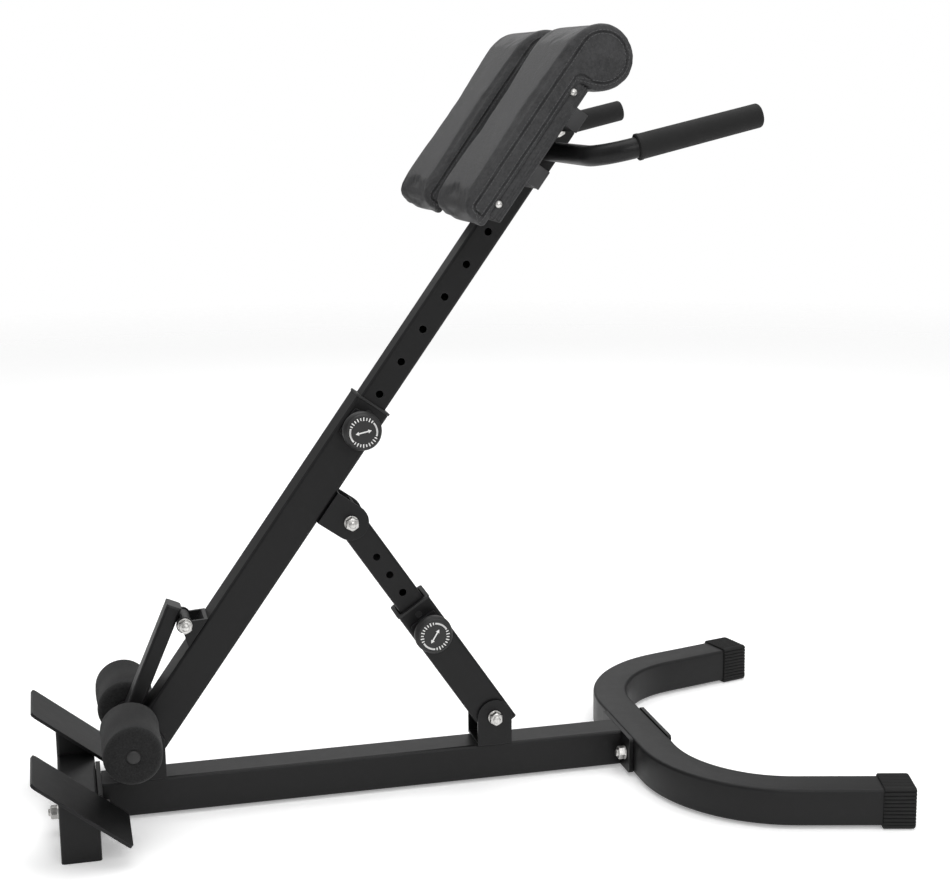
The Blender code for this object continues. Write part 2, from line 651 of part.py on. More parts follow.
def lock_boss(name, parent, pin_up):
    """A plate welded to the tube with the threaded boss that the knob turns in."""
    plate = rounded_rectangle(BOSS_PLATE, BOSS_PLATE, BOSS_CORNER)
    stem = [point * (BOSS_RADIUS / point.length) for point in plate]
    back = -(HALF_TUBE + TOUCH_GAP)
    place = facing((0, -1, 0), (0, back, pin_up))
    shoulder = place @ up(BOSS_PLATE_THICKNESS)
    end = shoulder @ up(BOSS_LENGTH)
    body = solid([(plate, place), (plate, shoulder), (stem, shoulder), (stem, end)])
    boss = add_piece(name, body, parent, BLACK_PAINT)
    bore_end = back - BOSS_PLATE_THICKNESS - BOSS_LENGTH - OVERCUT
    bore_ends = ((0, back + OVERCUT, pin_up), (0, bore_end, pin_up))
    cut(boss, name + "_bore", [drill(LOCK_PIN_RADIUS + PIN_GAP, *bore_ends)])


def lock_knob(prefix, parent, pin_up):
    """The pull knob and its pin; the pin stands just clear of the sliding tube."""
    boss_end = -(HALF_TUBE + TOUCH_GAP + BOSS_PLATE_THICKNESS + BOSS_LENGTH)
    knob_back = boss_end - TOUCH_GAP
    place = facing((0, -1, 0), (0, knob_back, pin_up))
    edge = circle(KNOB_RADIUS, WIDE_ROUND)
    rim = circle(KNOB_RADIUS - KNOB_EDGE, WIDE_ROUND)
    sections = [
        (rim, place),
        (edge, place @ up(KNOB_EDGE)),
        (edge, place @ up(KNOB_LENGTH - KNOB_EDGE)),
        (rim, place @ up(KNOB_LENGTH)),
    ]
    knob = add_piece(prefix + "_knob", solid(sections), parent, BLACK_PLASTIC)
    seat_ends = ((0, knob_back + OVERCUT, pin_up), (0, knob_back - KNOB_SOCKET, pin_up))
    seat = drill(LOCK_PIN_RADIUS + TOUCH_GAP, *seat_ends)
    cut(knob, prefix + "_knob_socket", [seat])
    tip = -(HALF_INNER + SLIDE_GAP)
    end = knob_back - KNOB_SOCKET + TOUCH_GAP
    pin = drill(LOCK_PIN_RADIUS, (0, tip, pin_up), (0, end, pin_up))
    add_piece(prefix + "_pin", pin, parent, ZINC)


def build_outer_post(post):
    tube = square_tube(FRAME_TUBE, FRAME_TUBE, FRAME_WALL, up(-POST_FOOT), up(POST_TOP))
    outer = add_piece("outer_post", tube, post, BLACK_PAINT)
    holes = [
        across_hole(BOLT_RADIUS + PIN_GAP, 0, 0),
        side_hole(LOCK_PIN_RADIUS + LOCK_HOLE_GAP, POST_PIN_UP),
        side_hole(PEG_RADIUS + TOUCH_GAP, POST_TOP - PEG_BELOW_TOP),
    ]
    cut(outer, "outer_post_holes", holes)
    collar("post_collar", POST_COLLAR_GAP, POST_TOP - POST_PIN_UP, post, POST_TOP)
    lock_boss("post_boss", post, POST_PIN_UP)
    back_face = facing((1, 0, 0), (HALF_TUBE + TOUCH_GAP, 0, HEAD_PIVOT_UP))
    u_bracket(
        "strut_head_bracket", BRACKET_LENGTH, BRACKET_EAR_RADIUS, HEAD_PIVOT_OUT,
        BRACKET_WALL, EAR_OUTSIDE, back_face, post,
    )
    head = facing((0, -1, 0), HEAD_PIVOT_LOCAL + Vector((0, EAR_OUTSIDE, 0)))
    add_piece("strut_head_bolt", lay(hex_bolt(2 * EAR_OUTSIDE), head), post, ZINC)
    front_face = facing((-1, 0, 0), (-HALF_TUBE - TOUCH_GAP, 0, ARM_PIVOT_UP))
    u_bracket(
        "arm_bracket", ARM_BRACKET_LENGTH, ARM_EAR_RADIUS, ARM_PIVOT_OUT,
        ARM_BRACKET_WALL, HALF_TUBE, front_face, post,
    )
    pivot = facing((0, -1, 0), (ARM_PIVOT_X, HALF_TUBE, ARM_PIVOT_UP))
    add_piece("arm_pivot_bolt", lay(hex_bolt(FRAME_TUBE), pivot), post, ZINC)
    bore = TUBE_BORE - 2 * TOUCH_GAP
    plug = rounded_rectangle(bore, bore, PLUG_CORNER)
    sections = [(plug, up(-POST_FOOT)), (plug, up(FOOT_PLUG_LENGTH - POST_FOOT))]
    add_piece("outer_post_plug", solid(sections), post, BLACK_PLASTIC)


def build_inner_post(mast):
    tube = square_tube(
        INNER_TUBE, INNER_TUBE, INNER_WALL, up(INNER_POST_BOTTOM), up(INNER_POST_TOP)
    )
    inner = add_piece("inner_post", tube, mast, BLACK_PAINT)
    holes = []
    for i in range(POST_HOLES):
        holes.append(side_hole(STOP_HOLE_RADIUS, POST_PIN_UP + i * POST_HOLE_PITCH))
    holes.append(across_hole(BAR_RADIUS + PIN_GAP, 0, BAR_Z, WIDE_ROUND))
    holes.append(across_hole(BOLT_RADIUS + PIN_GAP, 0, BAR_Z + SADDLE_BOLT_UP))
    cut(inner, "inner_post_holes", holes)
    bore = INNER_TUBE - 2 * INNER_WALL - 2 * TOUCH_GAP
    stem = rounded_rectangle(bore, bore, PLUG_CORNER)
    head = rounded_rectangle(INNER_TUBE, INNER_TUBE, TUBE_CORNER)
    plug = headed_plug(stem, head, POST_PLUG_DEPTH, up(INNER_POST_TOP))
    add_piece("inner_post_plug", plug, mast, BLACK_PLASTIC)


def headed_plug(stem, head, depth, mouth):
    """A stem pushed into a tube's mouth, with a head that covers its end."""
    seat = mouth @ up(TOUCH_GAP)
    start = mouth @ up(-depth)
    return solid([(stem, start), (stem, seat), (head, seat), (head, seat @ up(PLUG_HEAD))])


def build_crossbars(mast):
    half = CROSSBAR_LENGTH / 2
    for name, z in (("lower_crossbar", LOWER_CROSSBAR_Z), ("upper_crossbar", UPPER_CROSSBAR_Z)):
        start = Matrix.Translation((CROSSBAR_X, half, z)) @ Matrix.Rotation(math.pi / 2, 4, "X")
        outside = rounded_rectangle(CROSSBAR_DEPTH, CROSSBAR_WIDTH, CROSSBAR_CORNER)
        inside = rounded_rectangle(
            CROSSBAR_DEPTH - 2 * CROSSBAR_WALL, CROSSBAR_WIDTH - 2 * CROSSBAR_WALL,
            CROSSBAR_CORNER - CROSSBAR_WALL,
        )
        bar = hollow(outside, inside, (start, start @ up(CROSSBAR_LENGTH)))
        add_piece(name, bar, mast, BLACK_PAINT)


def pad_profile():
    """Side view of a pad from its lower back corner round to the roll at its top."""
    bottom = PAD_BOTTOM_Z
    points = [Vector((PAD_BACK_X, bottom, 0))]
    corner = PAD_CORNER
    middle = Vector((PAD_FRONT_X + corner, bottom + corner, 0))
    for i in range(5):
        a = math.pi * 1.5 - math.pi / 2 * i / 4
        points.append(middle + Vector((corner * math.cos(a), corner * math.sin(a), 0)))
    roll = PAD_ROLL_RADIUS
    middle = Vector((PAD_FRONT_X + roll, PAD_ROLL_Z, 0))
    notch = BOARD_TOP_Z + TOUCH_GAP
    steps = 16
    for i in range(steps + 1):
        a = math.pi - (math.pi - PAD_ROLL_END) * i / steps
        points.append(middle + Vector((roll * math.cos(a), roll * math.sin(a), 0)))
    points.append(Vector((BOARD_BACK_X, notch, 0)))
    points.append(Vector((PAD_BACK_X, notch, 0)))
    return points


def build_pads(mast):
    stand = Matrix.Rotation(math.pi / 2, 4, "X")
    profile = pad_profile()
    board_low = PAD_BOTTOM_Z + BOARD_BOTTOM_INSET
    board_height = BOARD_TOP_Z - TOUCH_GAP - board_low
    board_width = PAD_WIDTH - 2 * BOARD_INSET
    for side, sign in (("left", 1), ("right", -1)):
        edge = Matrix.Translation((0, sign * PAD_MIDDLE_Y + PAD_WIDTH / 2, 0)) @ stand
        body = solid([(profile, edge), (profile, edge @ up(PAD_WIDTH))])
        add_piece(f"pad_{side}", body, mast, BLACK_VINYL)
        outline = rounded_rectangle(board_width, board_height, BOARD_CORNER)
        middle = (BOARD_BACK_X, sign * PAD_MIDDLE_Y, board_low + board_height / 2)
        place = facing((-1, 0, 0), middle) @ Matrix.Rotation(math.pi / 2, 4, "Z")
        sections = [(outline, place), (outline, place @ up(BOARD_THICKNESS))]
        add_piece(f"pad_board_{side}", solid(sections), mast, BLACKENED_WOOD)


def bar_frame():
    """The handlebar's plane: X forward along the grips, Y across, from the bar's middle."""
    pitch = BAR_PITCH + math.pi / 2 - POST_TILT
    return Matrix.Translation((0, 0, BAR_Z)) @ Matrix.Rotation(-pitch, 4, "Y")


def bar_half_route():
    """Points (forward, sideways) from the bar's middle to its left end, with headings."""
    bend_y = BAR_SPREAD - BAR_BEND_RADIUS
    route = []
    for i in range(BEND_STEPS + 1):
        a = math.pi / 2 * i / BEND_STEPS
        x = BAR_BEND_RADIUS * (1 - math.cos(a))
        y = bend_y + BAR_BEND_RADIUS * math.sin(a)
        route.append((x, y, a))
    route.append((BAR_REACH, BAR_SPREAD, math.pi / 2))
    return route


def build_handlebar(mast):
    frame = bar_frame()
    half = bar_half_route()
    route = [(x, -y, -a) for x, y, a in half[::-1]] + half
    places = []
    for x, y, a in route:
        turn = Matrix.Rotation(-a, 4, "Z") @ Matrix.Rotation(-math.pi / 2, 4, "X")
        places.append(frame @ Matrix.Translation((x, y, 0)) @ turn)
    inside = circle(BAR_RADIUS - BAR_WALL, BAR_ROUND)
    tube = hollow(circle(BAR_RADIUS, BAR_ROUND), inside, places)
    add_piece("handlebar", tube, mast, BLACK_PAINT)
    grip_start = BAR_BEND_RADIUS + GRIP_GAP
    grip_end = BAR_REACH + TOUCH_GAP + GRIP_END
    bore = circle(BAR_RADIUS + TOUCH_GAP, GRIP_ROUND)
    skin_outline = circle(BAR_RADIUS + TOUCH_GAP + GRIP_WALL, GRIP_ROUND)
    for side, sign in (("left", 1), ("right", -1)):
        place = frame @ facing((1, 0, 0), (grip_start, sign * BAR_SPREAD, 0))
        length = grip_end - grip_start
        pocket_end = place @ up(length - GRIP_END)
        bm = bmesh.new()
        rings = [
            ring(bm, bore, pocket_end),
            ring(bm, bore, place),
            ring(bm, skin_outline, place),
            ring(bm, skin_outline, place @ up(length)),
        ]
        skin(bm, rings)
        bm.faces.new(rings[0])
        bm.faces.new(rings[-1])
        add_piece(f"grip_{side}", bm, mast, BLACK_RUBBER)


def build_handle_saddle(mast):
    """A folded plate round the back of the inner post that steadies the handlebar."""
    inside = HALF_INNER + TOUCH_GAP
    outside = inside + SADDLE_WALL
    front = -SADDLE_COVER
    low, high = BAR_Z - SADDLE_BELOW, BAR_Z + SADDLE_ABOVE
    height = high - low
    depth = outside - front
    middle = ((outside + front) / 2, 0, (low + high) / 2)
    saddle = add_piece("handle_saddle", box(depth, 2 * outside, height, middle), mast, BLACK_PAINT)
    gap_depth = inside - front + OVERCUT
    gap_middle = (inside - gap_depth / 2, 0, (low + high) / 2)
    gap = box(gap_depth, 2 * inside, height + 2 * OVERCUT, gap_middle)
    bar_hole = across_hole(BAR_RADIUS + PIN_GAP, 0, BAR_Z, WIDE_ROUND)
    bolt_up = BAR_Z + SADDLE_BOLT_UP
    bolt_hole = across_hole(BOLT_RADIUS + PIN_GAP, 0, bolt_up)
    cut(saddle, "handle_saddle_cuts", [gap, bar_hole, bolt_hole])
    place = facing((0, -1, 0), (0, outside, bolt_up))
    add_piece("saddle_bolt", lay(hex_bolt(2 * outside), place), mast, ZINC)


def build_strut(strut_foot, strut_head):
    tube = square_tube(FRAME_TUBE, FRAME_TUBE, FRAME_WALL, up(-STRUT_FOOT), up(STRUT_TOP))
    outer = add_piece("strut_outer_tube", tube, strut_foot, BLACK_PAINT)
    holes = [
        across_hole(BOLT_RADIUS + PIN_GAP, 0, 0),
        side_hole(LOCK_PIN_RADIUS + LOCK_HOLE_GAP, STRUT_PIN_UP),
        side_hole(PEG_RADIUS + TOUCH_GAP, STRUT_TOP - PEG_BELOW_TOP),
    ]
    cut(outer, "strut_outer_holes", holes)
    collar("strut_collar", STRUT_COLLAR_GAP, STRUT_TOP - STRUT_PIN_UP, strut_foot, STRUT_TOP)
    lock_boss("strut_boss", strut_foot, STRUT_PIN_UP)
    low = INNER_STRUT_BOTTOM - STRUT_LENGTH
    tube = square_tube(INNER_TUBE, INNER_TUBE, INNER_WALL, up(low), up(INNER_STRUT_OVER))
    inner = add_piece("strut_inner_tube", tube, strut_head, BLACK_PAINT)
    holes = [across_hole(BOLT_RADIUS + PIN_GAP, 0, 0)]
    for i in range(STRUT_HOLES):
        z = STRUT_PIN_UP + i * STRUT_HOLE_PITCH - STRUT_LENGTH
        holes.append(side_hole(STOP_HOLE_RADIUS, z))
    cut(inner, "strut_inner_holes", holes)
    start = HALF_INNER + TOUCH_GAP
    length = EAR_INSIDE - TOUCH_GAP - start
    for side, sign in (("left", 1), ("right", -1)):
        place = facing((0, sign, 0), (0, sign * start, 0))
        bore = circle(BOLT_RADIUS + PIN_GAP, WIDE_ROUND)
        spacer = hollow(circle(SPACER_RADIUS, WIDE_ROUND), bore, (place, place @ up(length)))
        add_piece(f"strut_spacer_{side}", spacer, strut_head, BLACK_PLASTIC)


def build_roller_arm(arm):
    foot, over = ARM_FOOT - ARM_REACH, ARM_OVER
    side_step = Matrix.Translation((-ARM_OFFSET, 0, 0))
    tube = square_tube(
        ARM_DEPTH, ARM_WIDTH, ARM_WALL, side_step @ up(foot), side_step @ up(over)
    )
    lever = add_piece("roller_arm", tube, arm, BLACK_PAINT)
    cope = across_hole(AXLE_RADIUS + TOUCH_GAP, -ARM_OFFSET, -ARM_REACH, WIDE_ROUND)
    cut(lever, "roller_arm_cope", [cope])
    bore_x = ARM_DEPTH - 2 * ARM_WALL - 2 * TOUCH_GAP
    bore_y = ARM_WIDTH - 2 * ARM_WALL - 2 * TOUCH_GAP
    stem = rounded_rectangle(bore_x, bore_y, PLUG_CORNER)
    head = rounded_rectangle(ARM_DEPTH, ARM_WIDTH, ARM_PLUG_CORNER)
    plug = headed_plug(stem, head, ARM_PLUG_DEPTH, side_step @ up(over))
    add_piece("arm_plug", plug, arm, BLACK_PLASTIC)
    half = HALF_TUBE - ARM_BRACKET_WALL - TOUCH_GAP
    place = facing((0, 1, 0), (0, -half, 0))
    bore = circle(BOLT_RADIUS + PIN_GAP, WIDE_ROUND)
    sleeve = hollow(circle(SLEEVE_RADIUS, WIDE_ROUND), bore, (place, place @ up(2 * half)))
    add_piece("arm_sleeve", sleeve, arm, BLACK_PAINT)
    reach = ROLLER_OUTER_END - HUB_CAP_LENGTH - TOUCH_GAP
    ends = ((-ARM_OFFSET, -reach, -ARM_REACH), (-ARM_OFFSET, reach, -ARM_REACH))
    add_piece("roller_axle", drill(AXLE_RADIUS, *ends, WIDE_ROUND), arm, BLACK_PAINT)


def build_roller(side, sign, carrier):
    """A foam sleeve on a plastic hub that turns on the axle; its cap closes the end."""
    start = facing((0, sign, 0), (0, sign * ROLLER_INNER_END, 0))
    length = ROLLER_OUTER_END - ROLLER_INNER_END
    hub_radius = AXLE_RADIUS + PIN_GAP + HUB_WALL
    bore = circle(AXLE_RADIUS + PIN_GAP, WIDE_ROUND)
    tube = circle(hub_radius, WIDE_ROUND)
    cap_start = start @ up(length - HUB_CAP_LENGTH)
    bm = bmesh.new()
    rings = [
        ring(bm, bore, cap_start),
        ring(bm, bore, start),
        ring(bm, tube, start),
        ring(bm, tube, start @ up(length)),
    ]
    skin(bm, rings)
    bm.faces.new(rings[0])
    bm.faces.new(rings[-1])
    add_piece(f"roller_hub_{side}", bm, carrier, BLACK_PLASTIC)
    inside = circle(hub_radius + TOUCH_GAP, WIDE_ROUND)
    outside = circle(ROLLER_RADIUS, WIDE_ROUND)
    rim = circle(ROLLER_RADIUS - ROLLER_EDGE, WIDE_ROUND)
    bm = bmesh.new()
    rings = [
        ring(bm, inside, start),
        ring(bm, rim, start),
        ring(bm, outside, start @ up(ROLLER_EDGE)),
        ring(bm, outside, start @ up(length - ROLLER_EDGE)),
        ring(bm, rim, start @ up(length)),
        ring(bm, inside, start @ up(length)),
    ]
    skin(bm, rings, closed=True)
    add_piece(f"roller_foam_{side}", bm, carrier, BLACK_FOAM)


def build():
    clear_scene()
    base = empty("base_frame", (-ORIGIN_X, 0, 0))
    post = empty("post_pivot_axis", POST_PIVOT, math.pi / 2 - POST_TILT, base)
    mast = empty("mast_slide", (0, 0, 0), 0.0, post)
    strut_foot = empty("strut_foot_axis", STRUT_PIVOT, STRUT_TURN, base)
    head_turn = STRUT_TURN - (math.pi / 2 - POST_TILT)
    strut_head = empty("strut_head_axis", HEAD_PIVOT_LOCAL, head_turn, post)
    arm = empty("arm_pivot_axis", (ARM_PIVOT_X, 0, ARM_PIVOT_UP), ARM_TURN, post)
    axle = empty("axle_axis", (-ARM_OFFSET, 0, -ARM_REACH), 0.0, arm)
    build_beam(base)
    build_base_bolts(base)
    build_rear_foot(base)
    build_front_foot(base)
    build_base_brackets(base)
    build_outer_post(post)
    lock_knob("post", post, POST_PIN_UP)
    build_inner_post(mast)
    build_crossbars(mast)
    build_pads(mast)
    build_handlebar(mast)
    build_handle_saddle(mast)
    build_strut(strut_foot, strut_head)
    lock_knob("strut", strut_foot, STRUT_PIN_UP)
    build_roller_arm(arm)
    build_roller("left", 1, axle)
    build_roller("right", -1, axle)


build()
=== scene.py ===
"""The looks of a 45 degree back extension bench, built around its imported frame."""

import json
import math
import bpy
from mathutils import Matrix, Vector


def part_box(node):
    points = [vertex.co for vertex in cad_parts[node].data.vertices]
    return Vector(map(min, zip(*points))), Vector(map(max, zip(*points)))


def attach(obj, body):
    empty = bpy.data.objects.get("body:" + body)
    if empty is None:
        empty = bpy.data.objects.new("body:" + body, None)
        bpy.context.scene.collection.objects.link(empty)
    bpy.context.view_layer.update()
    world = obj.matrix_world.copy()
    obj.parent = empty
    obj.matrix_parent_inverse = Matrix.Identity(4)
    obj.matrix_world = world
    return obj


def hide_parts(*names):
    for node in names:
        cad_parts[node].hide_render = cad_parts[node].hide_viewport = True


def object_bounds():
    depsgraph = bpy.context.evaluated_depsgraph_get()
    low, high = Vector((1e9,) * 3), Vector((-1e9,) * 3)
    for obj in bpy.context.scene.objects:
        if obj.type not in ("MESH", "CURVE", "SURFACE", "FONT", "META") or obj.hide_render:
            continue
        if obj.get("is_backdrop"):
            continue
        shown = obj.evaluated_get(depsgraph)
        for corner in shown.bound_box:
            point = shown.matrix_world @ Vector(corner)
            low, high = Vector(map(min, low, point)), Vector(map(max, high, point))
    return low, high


bl_info = {
    "name": "Roman Chair Looks",
    "version": (1, 0, 0),
    "blender": (4, 5, 0),
    "location": "View3D > Sidebar > Roman Chair",
    "description": "Upholstery, rollers, grips, fasteners, finishes and studio for a back extension bench",
    "category": "Object",
}

import bpy
import numpy as np
from bpy.props import FloatProperty, FloatVectorProperty, IntProperty, PointerProperty
from mathutils import Matrix, Vector
from mathutils.bvhtree import BVHTree

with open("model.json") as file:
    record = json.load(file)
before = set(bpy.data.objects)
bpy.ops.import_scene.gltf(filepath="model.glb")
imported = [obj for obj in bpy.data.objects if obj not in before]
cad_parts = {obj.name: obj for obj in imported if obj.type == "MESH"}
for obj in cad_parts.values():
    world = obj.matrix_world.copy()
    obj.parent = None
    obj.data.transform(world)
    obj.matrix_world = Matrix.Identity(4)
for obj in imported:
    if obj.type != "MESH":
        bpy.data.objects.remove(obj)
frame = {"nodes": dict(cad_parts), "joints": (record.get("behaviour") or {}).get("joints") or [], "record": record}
CAD_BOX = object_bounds()

CAMERA_PLACE = (-0.5031, -2.2118, 0.9459)
CAMERA_PITCH, CAMERA_YAW, CAMERA_ROLL = 0.2038, 0.2423, -0.0099
CAMERA_LENS = 65.51
FLOOR_GLOW = 0.28
FLOOR_FADE = (2.2, 5.5)
SKY_LIGHT = (0.14, 0.68)
CAP_CORNER = 0.0055
KNOB_PRINT = 0.0003
PAD_CORNER = 0.017
PAD_ROLL_END = -math.radians(60.4)
FOAM_FRAMES = 20

JOINTS = {joint["name"]: joint for joint in frame["joints"]}
ACROSS = Vector((0, 1, 0))
SIDES = (("left", 1), ("right", -1))


# --- places taken from the frame ------------------------------------------------------------------
def joint_point(name):
    return Vector(JOINTS[name]["pos_m"])


def upright(origin, direction):
    """A place whose Z axis runs along the direction and whose Y axis crosses the bench."""
    rise = direction.normalized()
    ahead = ACROSS.cross(rise)
    return Matrix.Translation(origin) @ Matrix((ahead, ACROSS, rise)).transposed().to_4x4()


def pointing(origin, direction):
    """A place whose Z axis points along the direction."""
    turn = Vector((0, 0, 1)).rotation_difference(Vector(direction)).to_matrix().to_4x4()
    return Matrix.Translation(origin) @ turn


def vertex_rows(mesh, what="co"):
    """A mesh's vertex points or normals, one row for each."""
    values = np.empty(len(mesh.vertices) * 3)
    mesh.vertices.foreach_get(what, values)
    return values.reshape(-1, 3)


def node_points(node, place):
    """A frame node's points in the coordinates of a place, one row for each."""
    back = np.array(place.inverted())
    return vertex_rows(frame["nodes"][node].data) @ back[:3, :3].T + back[:3, 3]


def extent(node, place):
    """Lowest and highest corner of a frame node in the coordinates of a place."""
    points = node_points(node, place)
    return Vector(points.min(0)), Vector(points.max(0))


def long_axis(node):
    """The direction that a long node runs in, pointing forward."""
    points = node_points(node, Matrix.Identity(4))
    axes = np.linalg.svd(points - points.mean(0), full_matrices=False)[2]
    direction = Vector(axes[0])
    return direction if direction.x > 0 else -direction


POST = upright(joint_point("post_incline"), Vector(JOINTS["post_height"]["axis"]))
STRUT = upright(
    joint_point("strut_base_turn"), joint_point("strut_head_turn") - joint_point("strut_base_turn")
)


# --- sizes and colours that a user would change ---------------------------------------------------
def length(name, description, default):
    return FloatProperty(name=name, description=description, default=default, min=0.0, unit="LENGTH")


def colour(name, description, default):
    return FloatVectorProperty(
        name=name, description=description, default=default, size=3, subtype="COLOR", min=0, max=1
    )


class ROMAN_PG_pads(bpy.types.PropertyGroup):
    shrink: length("Shrink", "How far inside its outline a pad starts before it swells", 0.0004)
    roll_swell: length("Roll swell", "How far the stuffed roll stands over its board", 0.0028)
    edge: length("Edge radius", "Rounding between a pad's front and its sides", 0.0055)
    voxel: length("Voxel", "Cell size of the pad's cloth", 0.0042)
    pressure: FloatProperty(name="Pressure", description="Foam pressure in the cloth", default=2.4)
    swell_limit: length("Swell limit", "Farthest that the cloth may move", 0.0030)
    seam_inset: length("Seam inset", "Side seam inside the pad's outline", 0.0105)
    seam_depth: length("Seam depth", "Depth of the sewn channel", 0.0016)
    seam_width: length("Seam width", "Half width of the sewn channel", 0.0011)
    stitch: length("Stitch", "Length of one stitch", 0.0034)
    stitch_gap: length("Stitch gap", "Space between stitches", 0.0012)
    stitch_rows: length("Stitch rows", "Each row of stitches from its seam", 0.0023)
    thread: length("Thread", "Radius of the thread", 0.00042)


class ROMAN_PG_frame(bpy.types.PropertyGroup):
    tube_corner: length("Tube corner", "Outside corner radius of the U tube", 0.0042)
    u_bend: length("U bend", "Bend radius of the U tube on its axis", 0.175)
    u_flare: FloatProperty(
        name="U flare", description="Turn of the U's arms", default=math.radians(15), subtype="ANGLE"
    )
    bar_radius: length("Bar radius", "Radius of the handlebar", 0.0125)
    bar_bend: length("Bar bend", "Bend radius of the handlebar on its axis", 0.045)
    ribs: IntProperty(name="Ribs", description="Ribs on each side of an end cap", default=9, min=3)
    rib_depth: length("Rib depth", "Height of the end caps' ribs", 0.0024)


class ROMAN_PG_finishes(bpy.types.PropertyGroup):
    powder: colour("Powder coat", "Satin black coat of the frame", (0.0036, 0.0036, 0.0038))
    vinyl: colour("Vinyl", "Black synthetic leather", (0.038, 0.038, 0.039))
    foam: colour("Foam", "Closed-cell foam of the rollers", (0.0085, 0.0085, 0.0087))
    rubber: colour("Rubber", "Moulded rubber", (0.0062, 0.0062, 0.0062))
    plastic: colour("Plastic", "Moulded black plastic", (0.0085, 0.0085, 0.0085))
    plug: colour("Plug", "Greyer plastic of the crossbar plugs", (0.030, 0.030, 0.031))
    zinc: colour("Zinc", "Bright zinc plate", (0.72, 0.71, 0.69))
    print_white: colour("Print", "White marks on the knobs", (0.72, 0.72, 0.71))
    floor: colour("Floor", "Pale studio floor", (0.93, 0.93, 0.93))


def sizes(group):
    return getattr(bpy.context.scene, group)


# --- shader maths as expressions ------------------------------------------------------------------
class Wire:
    """A node's output socket; arithmetic on it adds Math nodes."""

    def __init__(self, finish, socket):
        self.finish = finish
        self.socket = socket

    def maths(self, operation, first, second=0.0, clamp=False):
        settings = {"operation": operation, "use_clamp": clamp}
        return self.finish.node("ShaderNodeMath", settings, {0: first, 1: second})

    def __add__(self, other):
        return self.maths("ADD", self, other)

    __radd__ = __add__

    def __sub__(self, other):
        return self.maths("SUBTRACT", self, other)

    def __rsub__(self, other):
        return self.maths("SUBTRACT", other, self)

    def __mul__(self, other):
        return self.maths("MULTIPLY", self, other)

    __rmul__ = __mul__

    def held(self):
        """The value kept between 0 and 1."""
        return self.maths("ADD", self, 0.0, clamp=True)


class Finish:
    """A procedural material while it is being wired."""

    def __init__(self, name):
        self.material = bpy.data.materials.new(name)
        self.material.use_nodes = True
        self.tree = self.material.node_tree
        self.shader = self.tree.nodes["Principled BSDF"]

    def node(self, kind, settings=None, inputs=None, output=0):
        made = self.tree.nodes.new(kind)
        for key, value in (settings or {}).items():
            setattr(made, key, value)
        for key, value in (inputs or {}).items():
            self.feed(made.inputs[key], value)
        return Wire(self, made.outputs[output])

    def feed(self, socket, value):
        if isinstance(value, Wire):
            self.tree.links.new(value.socket, socket)
        elif value is not None:
            socket.default_value = value

    def place(self, stretch=(1, 1, 1), turn=(0, 0, 0)):
        """Object coordinates, stretched and turned."""
        coordinates = self.node("ShaderNodeTexCoord", output="Object")
        inputs = {"Vector": coordinates, "Scale": stretch, "Rotation": turn}
        return self.node("ShaderNodeMapping", None, inputs)

    def noise(self, place, scale, detail=2.0, roughness=0.5, warp=0.0):
        inputs = {
            "Vector": place, "Scale": scale, "Detail": detail, "Roughness": roughness,
            "Distortion": warp,
        }
        return self.node("ShaderNodeTexNoise", None, inputs, "Fac")

    def cells(self, place, scale, feature="F1", smooth=None):
        inputs = {"Vector": place, "Scale": scale}
        if smooth is not None:
            inputs["Smoothness"] = smooth
        return self.node("ShaderNodeTexVoronoi", {"feature": feature}, inputs, "Distance")

    def range(self, value, low, high, to_low=0.0, to_high=1.0):
        inputs = {0: value, 1: low, 2: high, 3: to_low, 4: to_high}
        return self.node("ShaderNodeMapRange", {"clamp": True}, inputs)

    def blend(self, amount, first, second):
        """One colour turning into another as the amount goes from 0 to 1."""
        made = self.tree.nodes.new("ShaderNodeMix")
        made.data_type = "RGBA"
        self.feed(made.inputs[0], amount)
        for socket, value in ((made.inputs[6], first), (made.inputs[7], second)):
            self.feed(socket, value if isinstance(value, Wire) else (*value, 1.0))
        return Wire(self, made.outputs[2])

    def bump(self, height, distance, strength=1.0, normal=None):
        inputs = {"Height": height, "Distance": distance, "Strength": strength, "Normal": normal}
        return self.node("ShaderNodeBump", None, inputs)

    def soft_edges(self, radius):
        """Normals rounded over hard edges, and a mask that is 1 on those edges."""
        rounded = self.node("ShaderNodeBevel", {"samples": 6}, {"Radius": radius})
        face = self.node("ShaderNodeNewGeometry", output="True Normal")
        inputs = {0: rounded, 1: face}
        even = self.node("ShaderNodeVectorMath", {"operation": "DOT_PRODUCT"}, inputs, "Value")
        return rounded, ((1 - even) * 5.0).held()

    def done(self, **sockets):
        for name, value in sockets.items():
            target = self.shader.inputs[name.replace("_", " ")]
            if isinstance(value, tuple) and len(value) == 3:
                value = (*value, 1.0)
            self.feed(target, value)
        return self.material


FINISHES = {}


def finish(name):
    """A material by name, made the first time that it is asked for."""
    if name not in FINISHES:
        FINISHES[name] = MAKERS[name](Finish(name))
    return FINISHES[name]


def tint(base, factor):
    return tuple(min(1.0, channel * factor) for channel in base)


